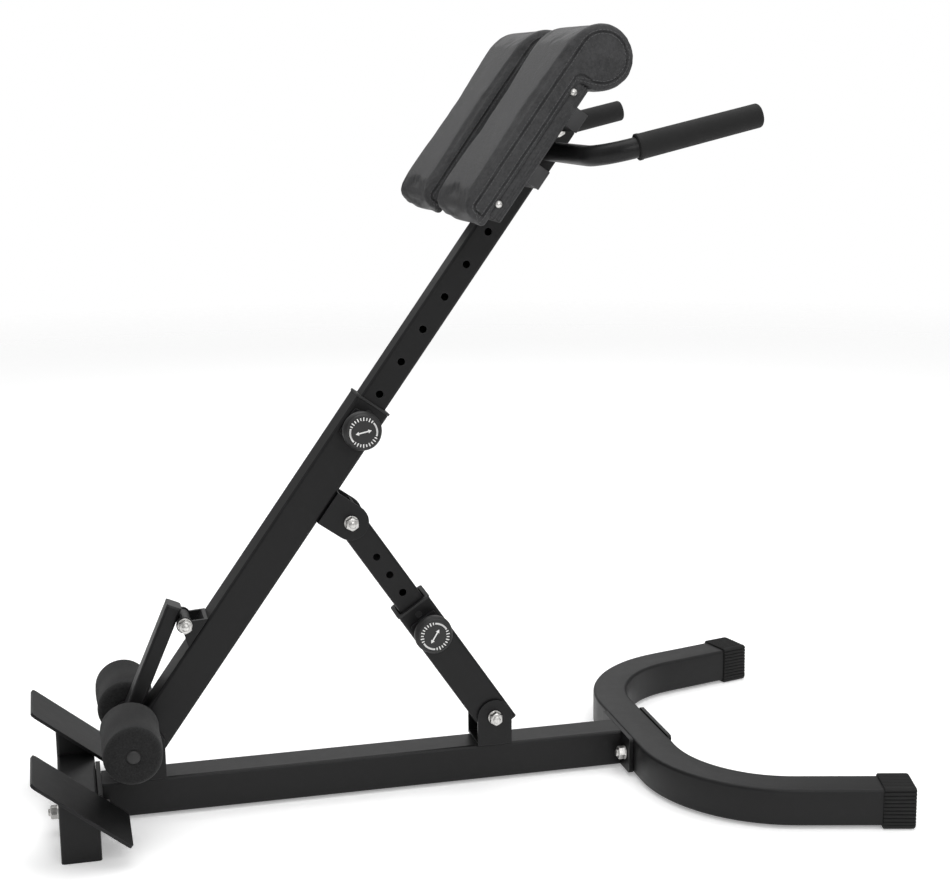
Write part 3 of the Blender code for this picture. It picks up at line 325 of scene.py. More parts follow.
def satin_powder(paint, scuffed=False):
    base = sizes("roman_finishes").powder
    place = paint.place()
    rounded, edge = paint.soft_edges(0.0011)
    cloud = paint.noise(place, 7.0, 3.0)
    dust = paint.noise(place, 55.0, 6.0, 0.65)
    peel = paint.noise(place, 1100.0, 1.5)
    speck = paint.range(paint.cells(place, 420.0), 0.0, 0.10, 1.0, 0.0)
    lively = paint.blend(cloud, tint(base, 0.85), tint(base, 1.35))
    dusty = paint.blend(paint.range(dust, 0.52, 0.80, 0.0, 0.30), lively, tint(base, 3.2))
    # Edges are lightened towards 13 times the base colour, more where the dust noise is high. This is partly edge
    # wear and partly a painted highlight along the tube corners.
    wear_and_edge_highlight = paint.blend(edge * (paint.range(dust, 0.35, 0.65) * 0.5 + 0.4), dusty, tint(base, 13.0))
    height = peel + speck * 0.35
    if scuffed:
        streaks = paint.noise(paint.place((1.0, 5.0, 1.0), (0, 0, 0.5)), 26.0, 6.0, 0.6, 1.4)
        scuffs = paint.range(streaks, 0.60, 0.74)
        wear_and_edge_highlight = paint.blend(scuffs * 0.45, wear_and_edge_highlight, tint(base, 4.5))
        height = height + scuffs * 1.5 + paint.noise(place, 300.0, 3.0) * 1.2
    return paint.done(
        Base_Color=wear_and_edge_highlight,
        Roughness=0.36 + cloud * 0.07 + dust * 0.10 + edge * 0.05,
        Normal=paint.bump(height, 0.00007, 0.55, rounded),
        Specular_IOR_Level=0.25,
    )


def trodden_powder(paint):
    return satin_powder(paint, scuffed=True)


def grained_vinyl(skin):
    base = sizes("roman_finishes").vinyl
    place = skin.place()
    bent = skin.place((1.0, 1.25, 0.85), (0.3, 0.2, 0.5))
    pebbles = skin.cells(bent, 620.0, "SMOOTH_F1", 0.35)
    creases = skin.range(skin.cells(place, 260.0, "DISTANCE_TO_EDGE"), 0.0, 0.12)
    fine = skin.noise(place, 1900.0, 3.0)
    cloud = skin.noise(place, 11.0, 4.0, 0.6)
    rub = skin.noise(place, 34.0, 5.0, 0.6, 0.6)
    mottle = skin.range(skin.noise(place, 260.0, 5.0, 0.75), 0.38, 0.62)
    lively = skin.blend(cloud * 0.5 + mottle * 0.5, tint(base, 0.62), tint(base, 1.45))
    rubbed = skin.blend(skin.range(rub, 0.50, 0.78, 0.0, 0.35), lively, tint(base, 2.1))
    height = creases * 0.55 - pebbles * 0.8 + fine * 0.25
    return skin.done(
        Base_Color=rubbed,
        Roughness=0.48 + rub * 0.14 - creases * 0.04,
        Normal=skin.bump(height, 0.00026, 0.9),
        Specular_IOR_Level=0.16,
    )


def sewing_thread(thread):
    base = tint(sizes("roman_finishes").vinyl, 1.7)
    twist = thread.noise(thread.place((1, 1, 1), (0.6, 0.6, 0)), 2600.0, 1.0)
    return thread.done(
        Base_Color=thread.blend(twist, tint(base, 0.6), tint(base, 1.5)),
        Roughness=0.62 + twist * 0.1,
        Normal=thread.bump(twist, 0.00008, 0.5),
    )


def closed_foam(foam):
    base = sizes("roman_finishes").foam
    place = foam.place()
    pores = foam.range(foam.cells(place, 620.0), 0.05, 0.42)
    grit = foam.noise(place, 900.0, 5.0, 0.8)
    cloud = foam.noise(place, 18.0, 4.0, 0.6)
    scuffs = foam.noise(foam.place((1, 0.35, 1)), 90.0, 5.0, 0.65, 0.8)
    lively = foam.blend(cloud, tint(base, 1.45), tint(base, 2.10))
    mottle = foam.range(foam.noise(place, 420.0, 4.0, 0.8), 0.40, 0.60)
    dotted = foam.blend(mottle * 0.6 + foam.range(grit, 0.40, 0.60) * 0.4, tint(base, 0.30), lively)
    scuffed = foam.blend(foam.range(scuffs, 0.58, 0.80, 0.0, 0.30), dotted, tint(base, 2.2))
    return foam.done(
        Base_Color=scuffed,
        Roughness=0.86 + grit * 0.10,
        Normal=foam.bump(pores + grit * 1.2, 0.00040, 0.9),
        Specular_IOR_Level=0.25,
        Sheen_Weight=0.06,
        Sheen_Roughness=0.6,
    )


def moulded_rubber(rubber):
    base = sizes("roman_finishes").rubber
    place = rubber.place()
    rounded, edge = rubber.soft_edges(0.0009)
    grain = rubber.noise(place, 1300.0, 4.0, 0.7)
    cloud = rubber.noise(place, 22.0, 4.0)
    dust = rubber.range(rubber.noise(place, 70.0, 6.0, 0.7), 0.52, 0.80, 0.0, 0.35)
    lively = rubber.blend(cloud, tint(base, 0.85), tint(base, 1.30))
    return rubber.done(
        Base_Color=rubber.blend(dust + edge * 0.12, lively, tint(base, 2.6)),
        Roughness=0.68 + grain * 0.12,
        Normal=rubber.bump(grain, 0.00010, 0.6, rounded),
        Specular_IOR_Level=0.30,
    )


def moulded_plastic(plastic, key="plastic"):
    base = getattr(sizes("roman_finishes"), key)
    place = plastic.place()
    rounded, edge = plastic.soft_edges(0.0007)
    spark = plastic.noise(place, 1700.0, 3.0, 0.6)
    cloud = plastic.noise(place, 30.0, 3.0)
    lively = plastic.blend(cloud, tint(base, 0.88), tint(base, 1.22))
    return plastic.done(
        Base_Color=plastic.blend(edge * 0.35, lively, tint(base, 2.0)),
        Roughness=0.42 + cloud * 0.08 + spark * 0.05,
        Normal=plastic.bump(spark, 0.00006, 0.55, rounded),
        Specular_IOR_Level=0.45,
    )


def plug_plastic(plastic):
    return moulded_plastic(plastic, "plug")


def bright_zinc(metal):
    base = sizes("roman_finishes").zinc
    place = metal.place()
    rounded, _ = metal.soft_edges(0.0004)
    brushed = metal.noise(metal.place((1, 1, 7)), 420.0, 4.0, 0.7)
    stain = metal.noise(place, 160.0, 5.0, 0.6)
    toned = metal.blend(metal.range(stain, 0.35, 0.70), tint(base, 0.62), base)
    return metal.done(
        Base_Color=toned,
        Metallic=1.0,
        Roughness=0.20 + stain * 0.20 + brushed * 0.08,
        Normal=metal.bump(brushed, 0.00005, 0.5, rounded),
    )


def stained_board(board):
    base = tint(sizes("roman_finishes").vinyl, 0.8)
    rounded, _ = board.soft_edges(0.0008)
    fibres = board.noise(board.place((1, 6, 1)), 160.0, 6.0, 0.7)
    return board.done(
        Base_Color=board.blend(fibres, tint(base, 0.7), tint(base, 1.6)),
        Roughness=0.62 + fibres * 0.15,
        Normal=board.bump(fibres, 0.00012, 0.5, rounded),
    )


def printed_white(ink):
    base = sizes("roman_finishes").print_white
    wear = ink.noise(ink.place(), 900.0, 5.0, 0.7)
    return ink.done(
        Base_Color=ink.blend(ink.range(wear, 0.50, 0.75, 0.0, 0.5), base, tint(base, 0.55)),
        Roughness=0.55 + wear * 0.1,
    )


def studio_floor(floor):
    """A pale floor that fades into the backdrop's light far from the bench."""
    base = sizes("roman_finishes").floor
    place = floor.place()
    away = floor.node("ShaderNodeVectorMath", {"operation": "LENGTH"}, {0: place}, "Value")
    grain = floor.noise(place, 240.0, 4.0, 0.6)
    cloud = floor.noise(place, 1.6, 3.0)
    return floor.done(
        Base_Color=floor.blend(cloud * 0.5 + grain * 0.1, tint(base, 0.97), base),
        Roughness=0.62 + grain * 0.06,
        Alpha=floor.range(away, *FLOOR_FADE, 1.0, 0.0),
        Emission_Color=(1.0, 1.0, 1.0),
        Emission_Strength=FLOOR_GLOW,
        Specular_IOR_Level=0.25,
    )


MAKERS = {
    "powder_coat": satin_powder,
    "trodden_coat": trodden_powder,
    "pad_vinyl": grained_vinyl,
    "pad_thread": sewing_thread,
    "roller_foam": closed_foam,
    "cap_rubber": moulded_rubber,
    "black_plastic": moulded_plastic,
    "plug_plastic": plug_plastic,
    "zinc_plate": bright_zinc,
    "pad_board": stained_board,
    "knob_print": printed_white,
    "studio_floor": studio_floor,
}


# --- modelling steps ------------------------------------------------------------------------------
def only(*objects):
    """Selects these objects and nothing else."""
    bpy.ops.object.select_all(action="DESELECT")
    for item in objects:
        item.select_set(True)
    bpy.context.view_layer.objects.active = objects[0]


def start(shape, **settings):
    """Adds one primitive with everything else deselected."""
    bpy.ops.object.select_all(action="DESELECT")
    getattr(bpy.ops.mesh, f"primitive_{shape}_add")(**settings)
    return bpy.context.object


def edit(piece, kind="FACE"):
    only(piece)
    bpy.ops.object.mode_set(mode="EDIT")
    bpy.ops.mesh.select_mode(type=kind)


def edit_all(piece):
    edit(piece)
    bpy.ops.mesh.select_all(action="SELECT")


def apply_place():
    """Applies the selected piece's own transform to its mesh."""
    bpy.ops.object.transform_apply(location=True, rotation=True, scale=True)


def close_edit():
    bpy.ops.mesh.select_all(action="SELECT")
    bpy.ops.mesh.normals_make_consistent(inside=False)
    bpy.ops.object.mode_set(mode="OBJECT")


def grow(step):
    bpy.ops.mesh.extrude_region_move(TRANSFORM_OT_translate={"value": tuple(step)})


def turned(rings, sides=32):
    """A turned piece about Z, grown ring by ring from (radius, height) pairs."""
    radius, height = rings[0]
    piece = start("circle", vertices=sides, radius=radius, fill_type="NGON", location=(0, 0, height))
    only(piece)
    apply_place()
    edit_all(piece)
    for new_radius, new_height in rings[1:]:
        grow((0, 0, new_height - height))
        factor = new_radius / radius
        centre = (0, 0, new_height)
        bpy.ops.transform.resize(value=(factor, factor, 1), center_override=centre)
        radius, height = new_radius, new_height
    close_edit()
    return piece


def apply_modifier(piece, kind, **settings):
    only(piece)
    modifier = piece.modifiers.new(kind.title(), kind)
    for key, value in settings.items():
        setattr(modifier, key, value)
    bpy.ops.object.modifier_apply(modifier=modifier.name)


def bevelled(piece, width, segments=2, angle=math.radians(30)):
    apply_modifier(
        piece, "BEVEL", width=width, segments=segments, limit_method="ANGLE", angle_limit=angle
    )
    return piece


def copied(piece):
    twin = piece.copy()
    twin.data = piece.data.copy()
    bpy.context.scene.collection.objects.link(twin)
    return twin


def put(piece, place):
    """Moves a piece to a place and applies it to the mesh."""
    piece.matrix_world = place @ piece.matrix_world
    only(piece)
    apply_place()
    return piece


def joined(pieces):
    only(*pieces)
    if len(pieces) > 1:
        bpy.ops.object.join()
    return bpy.context.object


def declare(piece, name, body, look, replaces=(), smooth=math.radians(38)):
    """Names a finished piece, gives it its finish and ties it to the frame."""
    piece.name = name
    piece.data.name = name
    piece.data.materials.clear()
    piece.data.materials.append(finish(look))
    only(piece)
    bpy.ops.object.shade_smooth_by_angle(angle=smooth)
    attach(piece, body)
    if replaces:
        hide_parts(*replaces)
    return piece


def bent_both_ways(middle, reach, sideways, bend, flare, steps):
    """Carries the selected end face from the right, round two bends, to the left end."""
    turn = math.pi / 2 - flare
    straight = sideways - reach * math.tan(flare) - bend * math.tan(turn / 2)
    bend_end = Vector((bend * (1 - math.cos(turn)), straight + bend * math.sin(turn), 0))
    arm = Vector((reach, sideways, 0)) - bend_end
    grow((-arm.x, arm.y, 0))
    spin_face(middle + Vector((bend, -straight, 0)), turn, steps)
    grow((0, 2 * straight, 0))
    spin_face(middle + Vector((bend, straight, 0)), turn, steps)
    grow((arm.x, arm.y, 0))


def spin_face(centre, turn, steps):
    bpy.ops.mesh.spin(steps=steps, angle=turn, center=centre, axis=(0, 0, 1))


# --- frame pieces ---------------------------------------------------------------------------------
def build_u_tube():
    """The flared front foot with true bends, in place of the frame's faceted one."""
    own = sizes("roman_frame")
    low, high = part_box("front_u_tube")
    half_tube = (high.z - low.z) / 2
    straight = Vector((low.x + half_tube, 0, (low.z + high.z) / 2))
    reach = high.x - half_tube * math.sin(own.u_flare) - straight.x
    sideways = high.y - half_tube * math.cos(own.u_flare)
    end = (straight.x + reach, -sideways, straight.z)
    tube = start("plane", size=2 * half_tube, rotation=(math.pi / 2, 0, 0))
    apply_place()
    edit_all(tube)
    bpy.ops.mesh.bevel(offset=own.tube_corner, segments=4, affect="VERTICES")
    close_edit()
    put(tube, Matrix.Translation(end) @ Matrix.Rotation(math.pi / 2 - own.u_flare, 4, "Z"))
    edit_all(tube)
    bent_both_ways(straight, reach, sideways, own.u_bend, own.u_flare, 26)
    close_edit()
    declare(tube, "front_foot_tube", "base", "powder_coat", ("front_u_tube",))


def build_handlebar():
    """The bent handlebar, and a rubber grip over each end."""
    own = sizes("roman_frame")
    along = long_axis("grip_left")
    normal = along.cross(ACROSS)
    turn = Matrix((along, ACROSS, normal)).transposed().to_4x4()
    low, high = extent("handlebar", turn)
    grip_low, grip_high = extent("grip_left", turn)
    centre = Vector((low.x + own.bar_radius, 0, (low.z + high.z) / 2))
    plane = turn @ Matrix.Translation(centre)
    reach = high.x - centre.x
    spread = high.y - own.bar_radius
    bar = start(
        "circle", vertices=28, radius=own.bar_radius, fill_type="NGON",
        location=(reach, -spread, 0), rotation=(0, math.pi / 2, 0),
    )
    apply_place()
    edit_all(bar)
    bent_both_ways(Vector((0, 0, 0)), reach, spread, own.bar_bend, 0.0, 16)
    close_edit()
    put(bar, plane)
    declare(bar, "bent_handlebar", "mast", "powder_coat", ("handlebar",))
    grip_radius = (grip_high.z - grip_low.z) / 2
    inner_end, outer_end = grip_low.x - centre.x, grip_high.x - centre.x
    master = turned(grip_rings(grip_radius, own.bar_radius + 0.0002, outer_end - inner_end), 40)
    for side, sign in SIDES:
        place = plane @ pointing((inner_end, sign * spread, 0), (1, 0, 0))
        grip = put(copied(master), place)
        declare(grip, f"hand_grip_{side}", "mast", "cap_rubber", (f"grip_{side}",))
    bpy.data.objects.remove(master)


def grip_rings(radius, bore, run):
    """Half section of a grip: a lipped mouth, a plain barrel and a rounded closed end."""
    lip = 0.0006
    rings = [(bore, 0.010), (bore, 0.0), (radius - 0.0008, 0.0), (radius + lip, 0.0009)]
    rings += [(radius + lip, 0.0042), (radius, 0.0052)]
    rings += [(radius - 0.0001 * k, run * k / 8) for k in range(1, 8)]
    corner = 0.0045
    for k in range(7):
        a = math.pi / 2 * k / 6
        rings.append((radius - 0.0007 - corner * (1 - math.cos(a)), run - corner * (1 - math.sin(a))))
    rings.append((radius * 0.45, run))
    return rings


def ribbed_outline(count, half_width, half_height, corner, ribs, depth):
    """Points round a rounded rectangle whose four sides are ribbed, and smooth at its corners."""
    points = []
    for side in range(4):
        turn = Matrix.Rotation(side * math.pi / 2, 2)
        reach, half = (half_width, half_height) if side % 2 == 0 else (half_height, half_width)
        flat = half - corner
        for k in range(count):
            along = -flat + 2 * flat * k / count
            ripple = abs(math.sin(math.pi * ribs * (along + flat) / (2 * flat))) ** 0.6
            points.append(turn @ Vector((reach - depth * (1 - ripple), along)))
        for k in range(4):
            a = math.pi / 2 * k / 4
            points.append(turn @ Vector((reach - corner + corner * math.cos(a), flat + corner * math.sin(a))))
    return points


def build_end_caps():
    """Ribbed rubber caps over the U tube's ends, standing on the floor."""
    own = sizes("roman_frame")
    for side, sign in SIDES:
        node = f"end_cap_{side}"
        turn = Matrix.Rotation(sign * own.u_flare, 4, "Z")
        low, high = extent(node, turn)
        middle = (low + high) / 2
        half = (high - low) / 2
        outline = ribbed_outline(90, half.y, half.z, CAP_CORNER, own.ribs, own.rib_depth)
        cap = start("circle", vertices=len(outline), radius=half.y, fill_type="NGON")
        for vertex, point in zip(cap.data.vertices, outline):
            vertex.co = (point.x, point.y, 0)
        edit_all(cap)
        run = 2 * half.x
        steps = ((0.0012, 1.025), (run - 0.0042, 1.0), (0.0020, 0.975), (0.0010, 0.955))
        bpy.ops.transform.resize(value=(0.975, 0.975, 1), center_override=(0, 0, 0))
        travelled = 0.0
        for step, factor in steps:
            grow((0, 0, step))
            travelled += step
            bpy.ops.transform.resize(value=(factor, factor, 1), center_override=(0, 0, travelled))
        close_edit()
        cap = joined([cap] + end_ribs(own, half, travelled))
        stand = Matrix(((0, 0, 1, low.x), (1, 0, 0, middle.y), (0, 1, 0, middle.z), (0, 0, 0, 1)))
        put(cap, turn @ stand)
        declare(cap, f"ribbed_cap_{side}", "base", "cap_rubber", (node,))


def end_ribs(own, half, height):
    """Half-round bars across a cap's outer face, in line with its side ribs."""
    flat = half.z - CAP_CORNER
    pitch = 2 * flat / own.ribs
    master = start("cylinder", vertices=20, radius=pitch * 0.36, depth=2 * half.y - 0.012)
    put(master, Matrix.Rotation(math.pi / 2, 4, "Y"))
    bevelled(master, 0.0009, 2)
    bars = []
    for k in range(own.ribs):
        place = Matrix.Translation((0, -flat + pitch * (k + 0.5), height - pitch * 0.20))
        bars.append(put(copied(master), place))
    bpy.data.objects.remove(master)
    return bars


# --- fasteners ------------------------------------------------------------------------------------
def hexagon(flat_radius, height):
    """A hexagon block with its corners turned down at the outer end."""
    corner_radius = flat_radius / math.cos(math.pi / 6)
    block = start("cylinder", vertices=6, radius=corner_radius, depth=height, location=(0, 0, height / 2))
    apply_place()
    drop = height * 0.96
    ball_radius = math.hypot(drop + 0.004, flat_radius * 0.98)
    ball = start("uv_sphere", segments=48, ring_count=24, radius=ball_radius, location=(0, 0, -0.004))
    apply_modifier(block, "BOOLEAN", object=ball, operation="INTERSECT", solver="EXACT")
    bpy.data.objects.remove(ball)
    return block


def washer(radius, bore, thickness):
    lip = thickness * 0.25
    rings = [(bore, thickness / 2), (bore, 0), (radius - lip, 0), (radius, lip)]
    rings += [(radius, thickness - lip), (radius - lip, thickness), (bore, thickness)]
    return turned(rings, 36)


def thread(radius, run):
    """A threaded end: rolled crests and a chamfered tip."""
    pitch = 0.00125
    crests = max(2, int(run / pitch))
    rings = [(radius * 0.9, 0)]
    for k in range(crests):
        rings += [(radius, pitch * (k + 0.35)), (radius * 0.9, pitch * (k + 0.85))]
    rings.append((radius * 0.72, pitch * crests + 0.0004))
    return turned(rings, 20)


def build_bolts():
    """Hexagon bolts with washers and nuts, and the button-headed pivot."""
    toward_foot, toward_right = (-1, 0, 0), (0, -1, 0)
    hexed = [(f"{end}_bolt_{side}", "base", toward_foot) for end in ("rear", "front") for side, _ in SIDES]
    hexed += [
        ("strut_foot_bolt", "base", toward_right),
        ("strut_head_bolt", "post", toward_right),
        ("arm_pivot_bolt", "post", toward_right),
        ("saddle_bolt", "mast", toward_right),
    ]
    shank, plate, nut_height, head_height, tip = 0.005, 0.002, 0.0088, 0.0064, 0.0030
    flat_radius, washer_radius = 0.0080, 0.0097
    nut, head = hexagon(flat_radius, nut_height), hexagon(flat_radius, head_height)
    ring, end = washer(washer_radius, shank, plate), thread(shank, tip)
    for node, body, direction in hexed:
        place = pointing((0, 0, 0), direction)
        low, high = extent(node, place)
        middle = (low + high) / 2
        nut_base = high.z - tip - nut_height
        shaft = turned([(shank, low.z + head_height), (shank, nut_base)], 20)
        stack = [shaft]
        flipped = Matrix.Rotation(math.pi, 4, "X")
        stack.append(put(copied(head), Matrix.Translation((0, 0, low.z + head_height)) @ flipped))
        stack.append(put(copied(ring), Matrix.Translation((0, 0, low.z + head_height))))
        stack.append(put(copied(ring), Matrix.Translation((0, 0, nut_base - plate))))
        stack.append(put(copied(nut), Matrix.Translation((0, 0, nut_base))))
        stack.append(put(copied(end), Matrix.Translation((0, 0, nut_base + nut_height))))
        bolt = put(joined(stack), place @ Matrix.Translation((middle.x, middle.y, 0)))
        declare(bolt, f"hex_{node}", body, "zinc_plate", (node,))
    for part in (nut, head, ring, end):
        bpy.data.objects.remove(part)
    build_pivot_pin()


def dome(radius, height, steps=7):
    """Rings of a low button head on Z = 0, from its rim to near its middle."""
    rings = []
    for k in range(steps):
        a = math.pi / 2 * k / steps
        rings.append((radius * math.cos(a), height * math.sin(a)))
    return rings


def build_pivot_pin():
    place = pointing((0, 0, 0), (0, -1, 0))
    low, high = extent("post_pivot_bolt", place)
    middle = (low + high) / 2
    radius = (high.x - low.x) / 2
    rise = 0.0035
    shaft = turned([(0.005, low.z + rise), (0.005, high.z - rise)], 20)
    cap = turned([(radius, 0)] + dome(radius, rise), 32)
    far = put(copied(cap), Matrix.Translation((0, 0, low.z + rise)) @ Matrix.Rotation(math.pi, 4, "X"))
    near = put(cap, Matrix.Translation((0, 0, high.z - rise)))
    pin = put(joined([shaft, far, near]), place @ Matrix.Translation((middle.x, middle.y, 0)))
    declare(pin, "button_post_pivot", "base", "zinc_plate", ("post_pivot_bolt",))


# --- knobs ----------------------------------------------------------------------------------------
def build_knobs():
    """Pull knobs with a dished face and plain white marks."""
    knobs = (("post", "post_lock", POST, 0.82), ("strut", "strut_lock", STRUT, 0.44))
    for prefix, body, column, turn in knobs:
        node = f"{prefix}_knob"
        facing = column @ pointing((0, 0, 0), (0, -1, 0))
        low, high = extent(node, facing)
        middle = (low + high) / 2
        radius = (high.x - low.x) / 2
        run = high.z - low.z
        place = facing @ Matrix.Translation((middle.x, middle.y, low.z))
        knob = put(turned(knob_rings(radius, run), 64), place)
        declare(knob, f"{prefix}_pull_knob", body, "black_plastic", (node,))
        marks = put(knob_marks(radius, run), place @ Matrix.Rotation(turn, 4, "Z"))
        declare(marks, f"{prefix}_knob_marks", body, "knob_print")


def knob_rings(radius, run):
    """Half section of a knob: hollow neck, round belly and a slightly dished face."""
    rings = [(radius * 0.42, 0.0), (radius * 0.55, 0.0), (radius * 0.80, 0.0012)]
    belly = run * 0.42
    for k in range(9):
        a = -math.pi / 2 + math.pi * k / 8
        rings.append((radius - 0.0035 + 0.0035 * math.cos(a), belly + (belly - 0.002) * math.sin(a) * 0.9))
    top = run - 0.0003
    rings += [(radius - 0.0020, run * 0.90), (radius - 0.0034, top), (radius - 0.0052, run)]
    rings += [(radius - 0.0058, run - 0.0006), (radius * 0.40, run - 0.0007), (0.002, run - 0.0007)]
    return rings


def knob_marks(radius, run):
    """Two bold arcs, two rows of dashes between them and a two-way arrow."""
    height = run - 0.0007
    ring_radius = radius * 0.68
    marks = []
    for side in (0, math.pi):
        for k in range(-5, 6):
            marks.append(mark_block((0.0023, 0.0021, KNOB_PRINT), ring_radius, side + k * 0.092, height))
        for k in range(-4, 5):
            turn = side + math.pi / 2 + k * 0.225
            size = (0.0048 if k % 2 else 0.0036, 0.0014, KNOB_PRINT)
            marks.append(mark_block(size, ring_radius, turn, height))
    marks.append(mark_block((0.0130, 0.0017, KNOB_PRINT), 0.0, 0.0, height))
    marks += [arrow_head(0.0078, height), arrow_head(-0.0078, height)]
    return joined(marks)


def mark_block(size, reach, turn, height):
    block = start("cube", size=1.0)
    place = Matrix.Rotation(turn, 4, "Z") @ Matrix.Translation((reach, 0, height))
    return put(block, place @ Matrix.Diagonal((*size, 1)))


def arrow_head(reach, height):
    head = start("cylinder", vertices=3, radius=0.0030, depth=KNOB_PRINT)
    turn = Matrix.Rotation(-math.pi / 2 if reach > 0 else math.pi / 2, 4, "Z")
    return put(head, Matrix.Translation((reach, 0, height)) @ turn)


# --- rollers --------------------------------------------------------------------------------------
def build_rollers():
    """Foam sleeves with soft ends, and the domed plugs that hold them."""
    for side, sign in SIDES:
        hub = pointing(joint_point(f"roller_{side}_spin"), (0, sign, 0))
        low, high = extent(f"roller_foam_{side}", hub)
        hub_low, hub_high = extent(f"roller_hub_{side}", hub)
        radius, run = (high.x - low.x) / 2, high.z - low.z
        bore = (hub_high.x - hub_low.x) / 2
        foam = turned(foam_rings(radius, bore + 0.0004, run), 96)
        unevenly_squeezed(foam, 0.0005)
        put(foam, hub @ Matrix.Translation((0, 0, low.z)))
        body = f"roller_{side}"
        declare(foam, f"foam_sleeve_{side}", body, "roller_foam", (f"roller_foam_{side}",))
        rise = hub_high.z
        cap_radius = 0.0090
        rings = [(bore - 0.0002, hub_low.z), (bore - 0.0002, rise - 0.0030)]
        rings += [(cap_radius, rise - 0.0029), (cap_radius, rise - 0.0008)]
        rings += [(r, rise - 0.0007 + z) for r, z in dome(cap_radius - 0.0001, 0.0022)[1:]]
        plug = put(turned(rings, 40), hub)
        declare(
            plug, f"roller_plug_{side}", body, "black_plastic",
            (f"roller_hub_{side}",),
        )


def foam_rings(radius, bore, run):
    """Half section of a foam sleeve with rounded shoulders and pinched end faces."""
    corner = 0.0085
    rings = [(bore, run * 0.5), (bore, 0.0016), (bore + 0.004, 0.0002), (bore + 0.009, 0.0)]
    for k in range(1, 9):
        a = math.pi / 2 * k / 8
        rings.append((radius - corner + corner * math.sin(a), corner * (1 - math.cos(a))))
    for k in range(1, 16):
        rings.append((radius, corner + (run - 2 * corner) * k / 16))
    for k in range(8, 0, -1):
        a = math.pi / 2 * k / 8
        rings.append((radius - corner + corner * math.sin(a), run - corner * (1 - math.cos(a))))
    mouth = 0.0092
    rings += [(bore + 0.006, run - 0.0001), (mouth + 0.0012, run - 0.0004), (mouth, run - 0.0012)]
    rings += [(mouth, run - 0.0027), (bore, run - 0.0028), (bore, run * 0.52)]
    return rings


def unevenly_squeezed(piece, depth):
    """Slow dents and swellings, as foam keeps from use."""
    for vertex in piece.data.vertices:
        x, y, z = vertex.co
        around = math.atan2(y, x)
        dent = math.sin(3 * around + 42 * z) * 0.5 + math.sin(2 * around - 85 * z + 1.3)
        factor = 1 + depth * dent / max(math.hypot(x, y), 0.012)
        vertex.co = (x * factor, y * factor, z)


# --- pads -----------------------------------------------------------------------------------------
def pad_outline(own, low, high, back, board_back, notch, inset):
    """Side view of a pad, its lower back corner first, round its front and over its roll."""
    roll = (high.x - low.x) / 2 - inset + own.roll_swell
    centre = Vector((low.x + roll + inset, high.z - inset - roll + own.roll_swell))
    front, bottom, corner = low.x + inset, low.z + inset, PAD_CORNER
    points = [Vector((back - inset * 0.4, bottom))]
    for k in range(9):
        a = math.pi / 2 * k / 8
        points.append(Vector((front + corner * (1 - math.sin(a)), bottom + corner * (1 - math.cos(a)))))
    flat = 14
    for k in range(1, flat):
        points.append(Vector((front, bottom + corner + (centre.y - bottom - corner) * k / flat)))
    for k in range(29):
        a = math.pi - (math.pi - PAD_ROLL_END) * k / 28
        points.append(Vector((centre.x + roll * math.cos(a), centre.y + roll * math.sin(a))))
    points.append(Vector((board_back, notch + inset)))
    points.append(Vector((back - inset * 0.4, notch + inset)))
    return points


def outline_distance(points, outline):
    """For each point, its distance to a closed outline and the run along it to the nearest spot."""
    corners = np.array([tuple(p) for p in outline])
    ends = np.roll(corners, -1, axis=0)
    spans = ends - corners
    lengths = np.linalg.norm(spans, axis=1)
    runs = np.concatenate(([0.0], np.cumsum(lengths)))[:-1]
    best = np.full(len(points), 1e9)
    run = np.zeros(len(points))
    for corner, span, size, before in zip(corners, spans, lengths, runs):
        share = np.clip((points - corner) @ span / size**2, 0, 1)
        gap = np.linalg.norm(points - corner - share[:, None] * span, axis=1)
        closer = gap < best
        best[closer] = gap[closer]
        run[closer] = (before + share * size)[closer]
    return best, run


def raw_pad(outline, half_width, edge):
    """The pad's plain block: its outline extruded across and rounded along both sides."""
    block = start("circle", vertices=len(outline), radius=0.1, fill_type="NGON")
    for vertex, point in zip(block.data.vertices, outline):
        vertex.co = (point.x, -half_width, point.y)
    edit_all(block)
    grow((0, 2 * half_width, 0))
    close_edit()
    edit(block, "EDGE")
    bpy.ops.mesh.select_all(action="DESELECT")
    bpy.ops.object.mode_set(mode="OBJECT")
    points = block.data.vertices
    for rim in block.data.edges:
        first, second = (points[i].co for i in rim.vertices)
        rim.select = abs(first.y - second.y) < 1e-6
    bpy.ops.object.mode_set(mode="EDIT")
    bpy.ops.mesh.bevel(offset=edge, segments=4, affect="EDGES", clamp_overlap=True)
    close_edit()
    return block


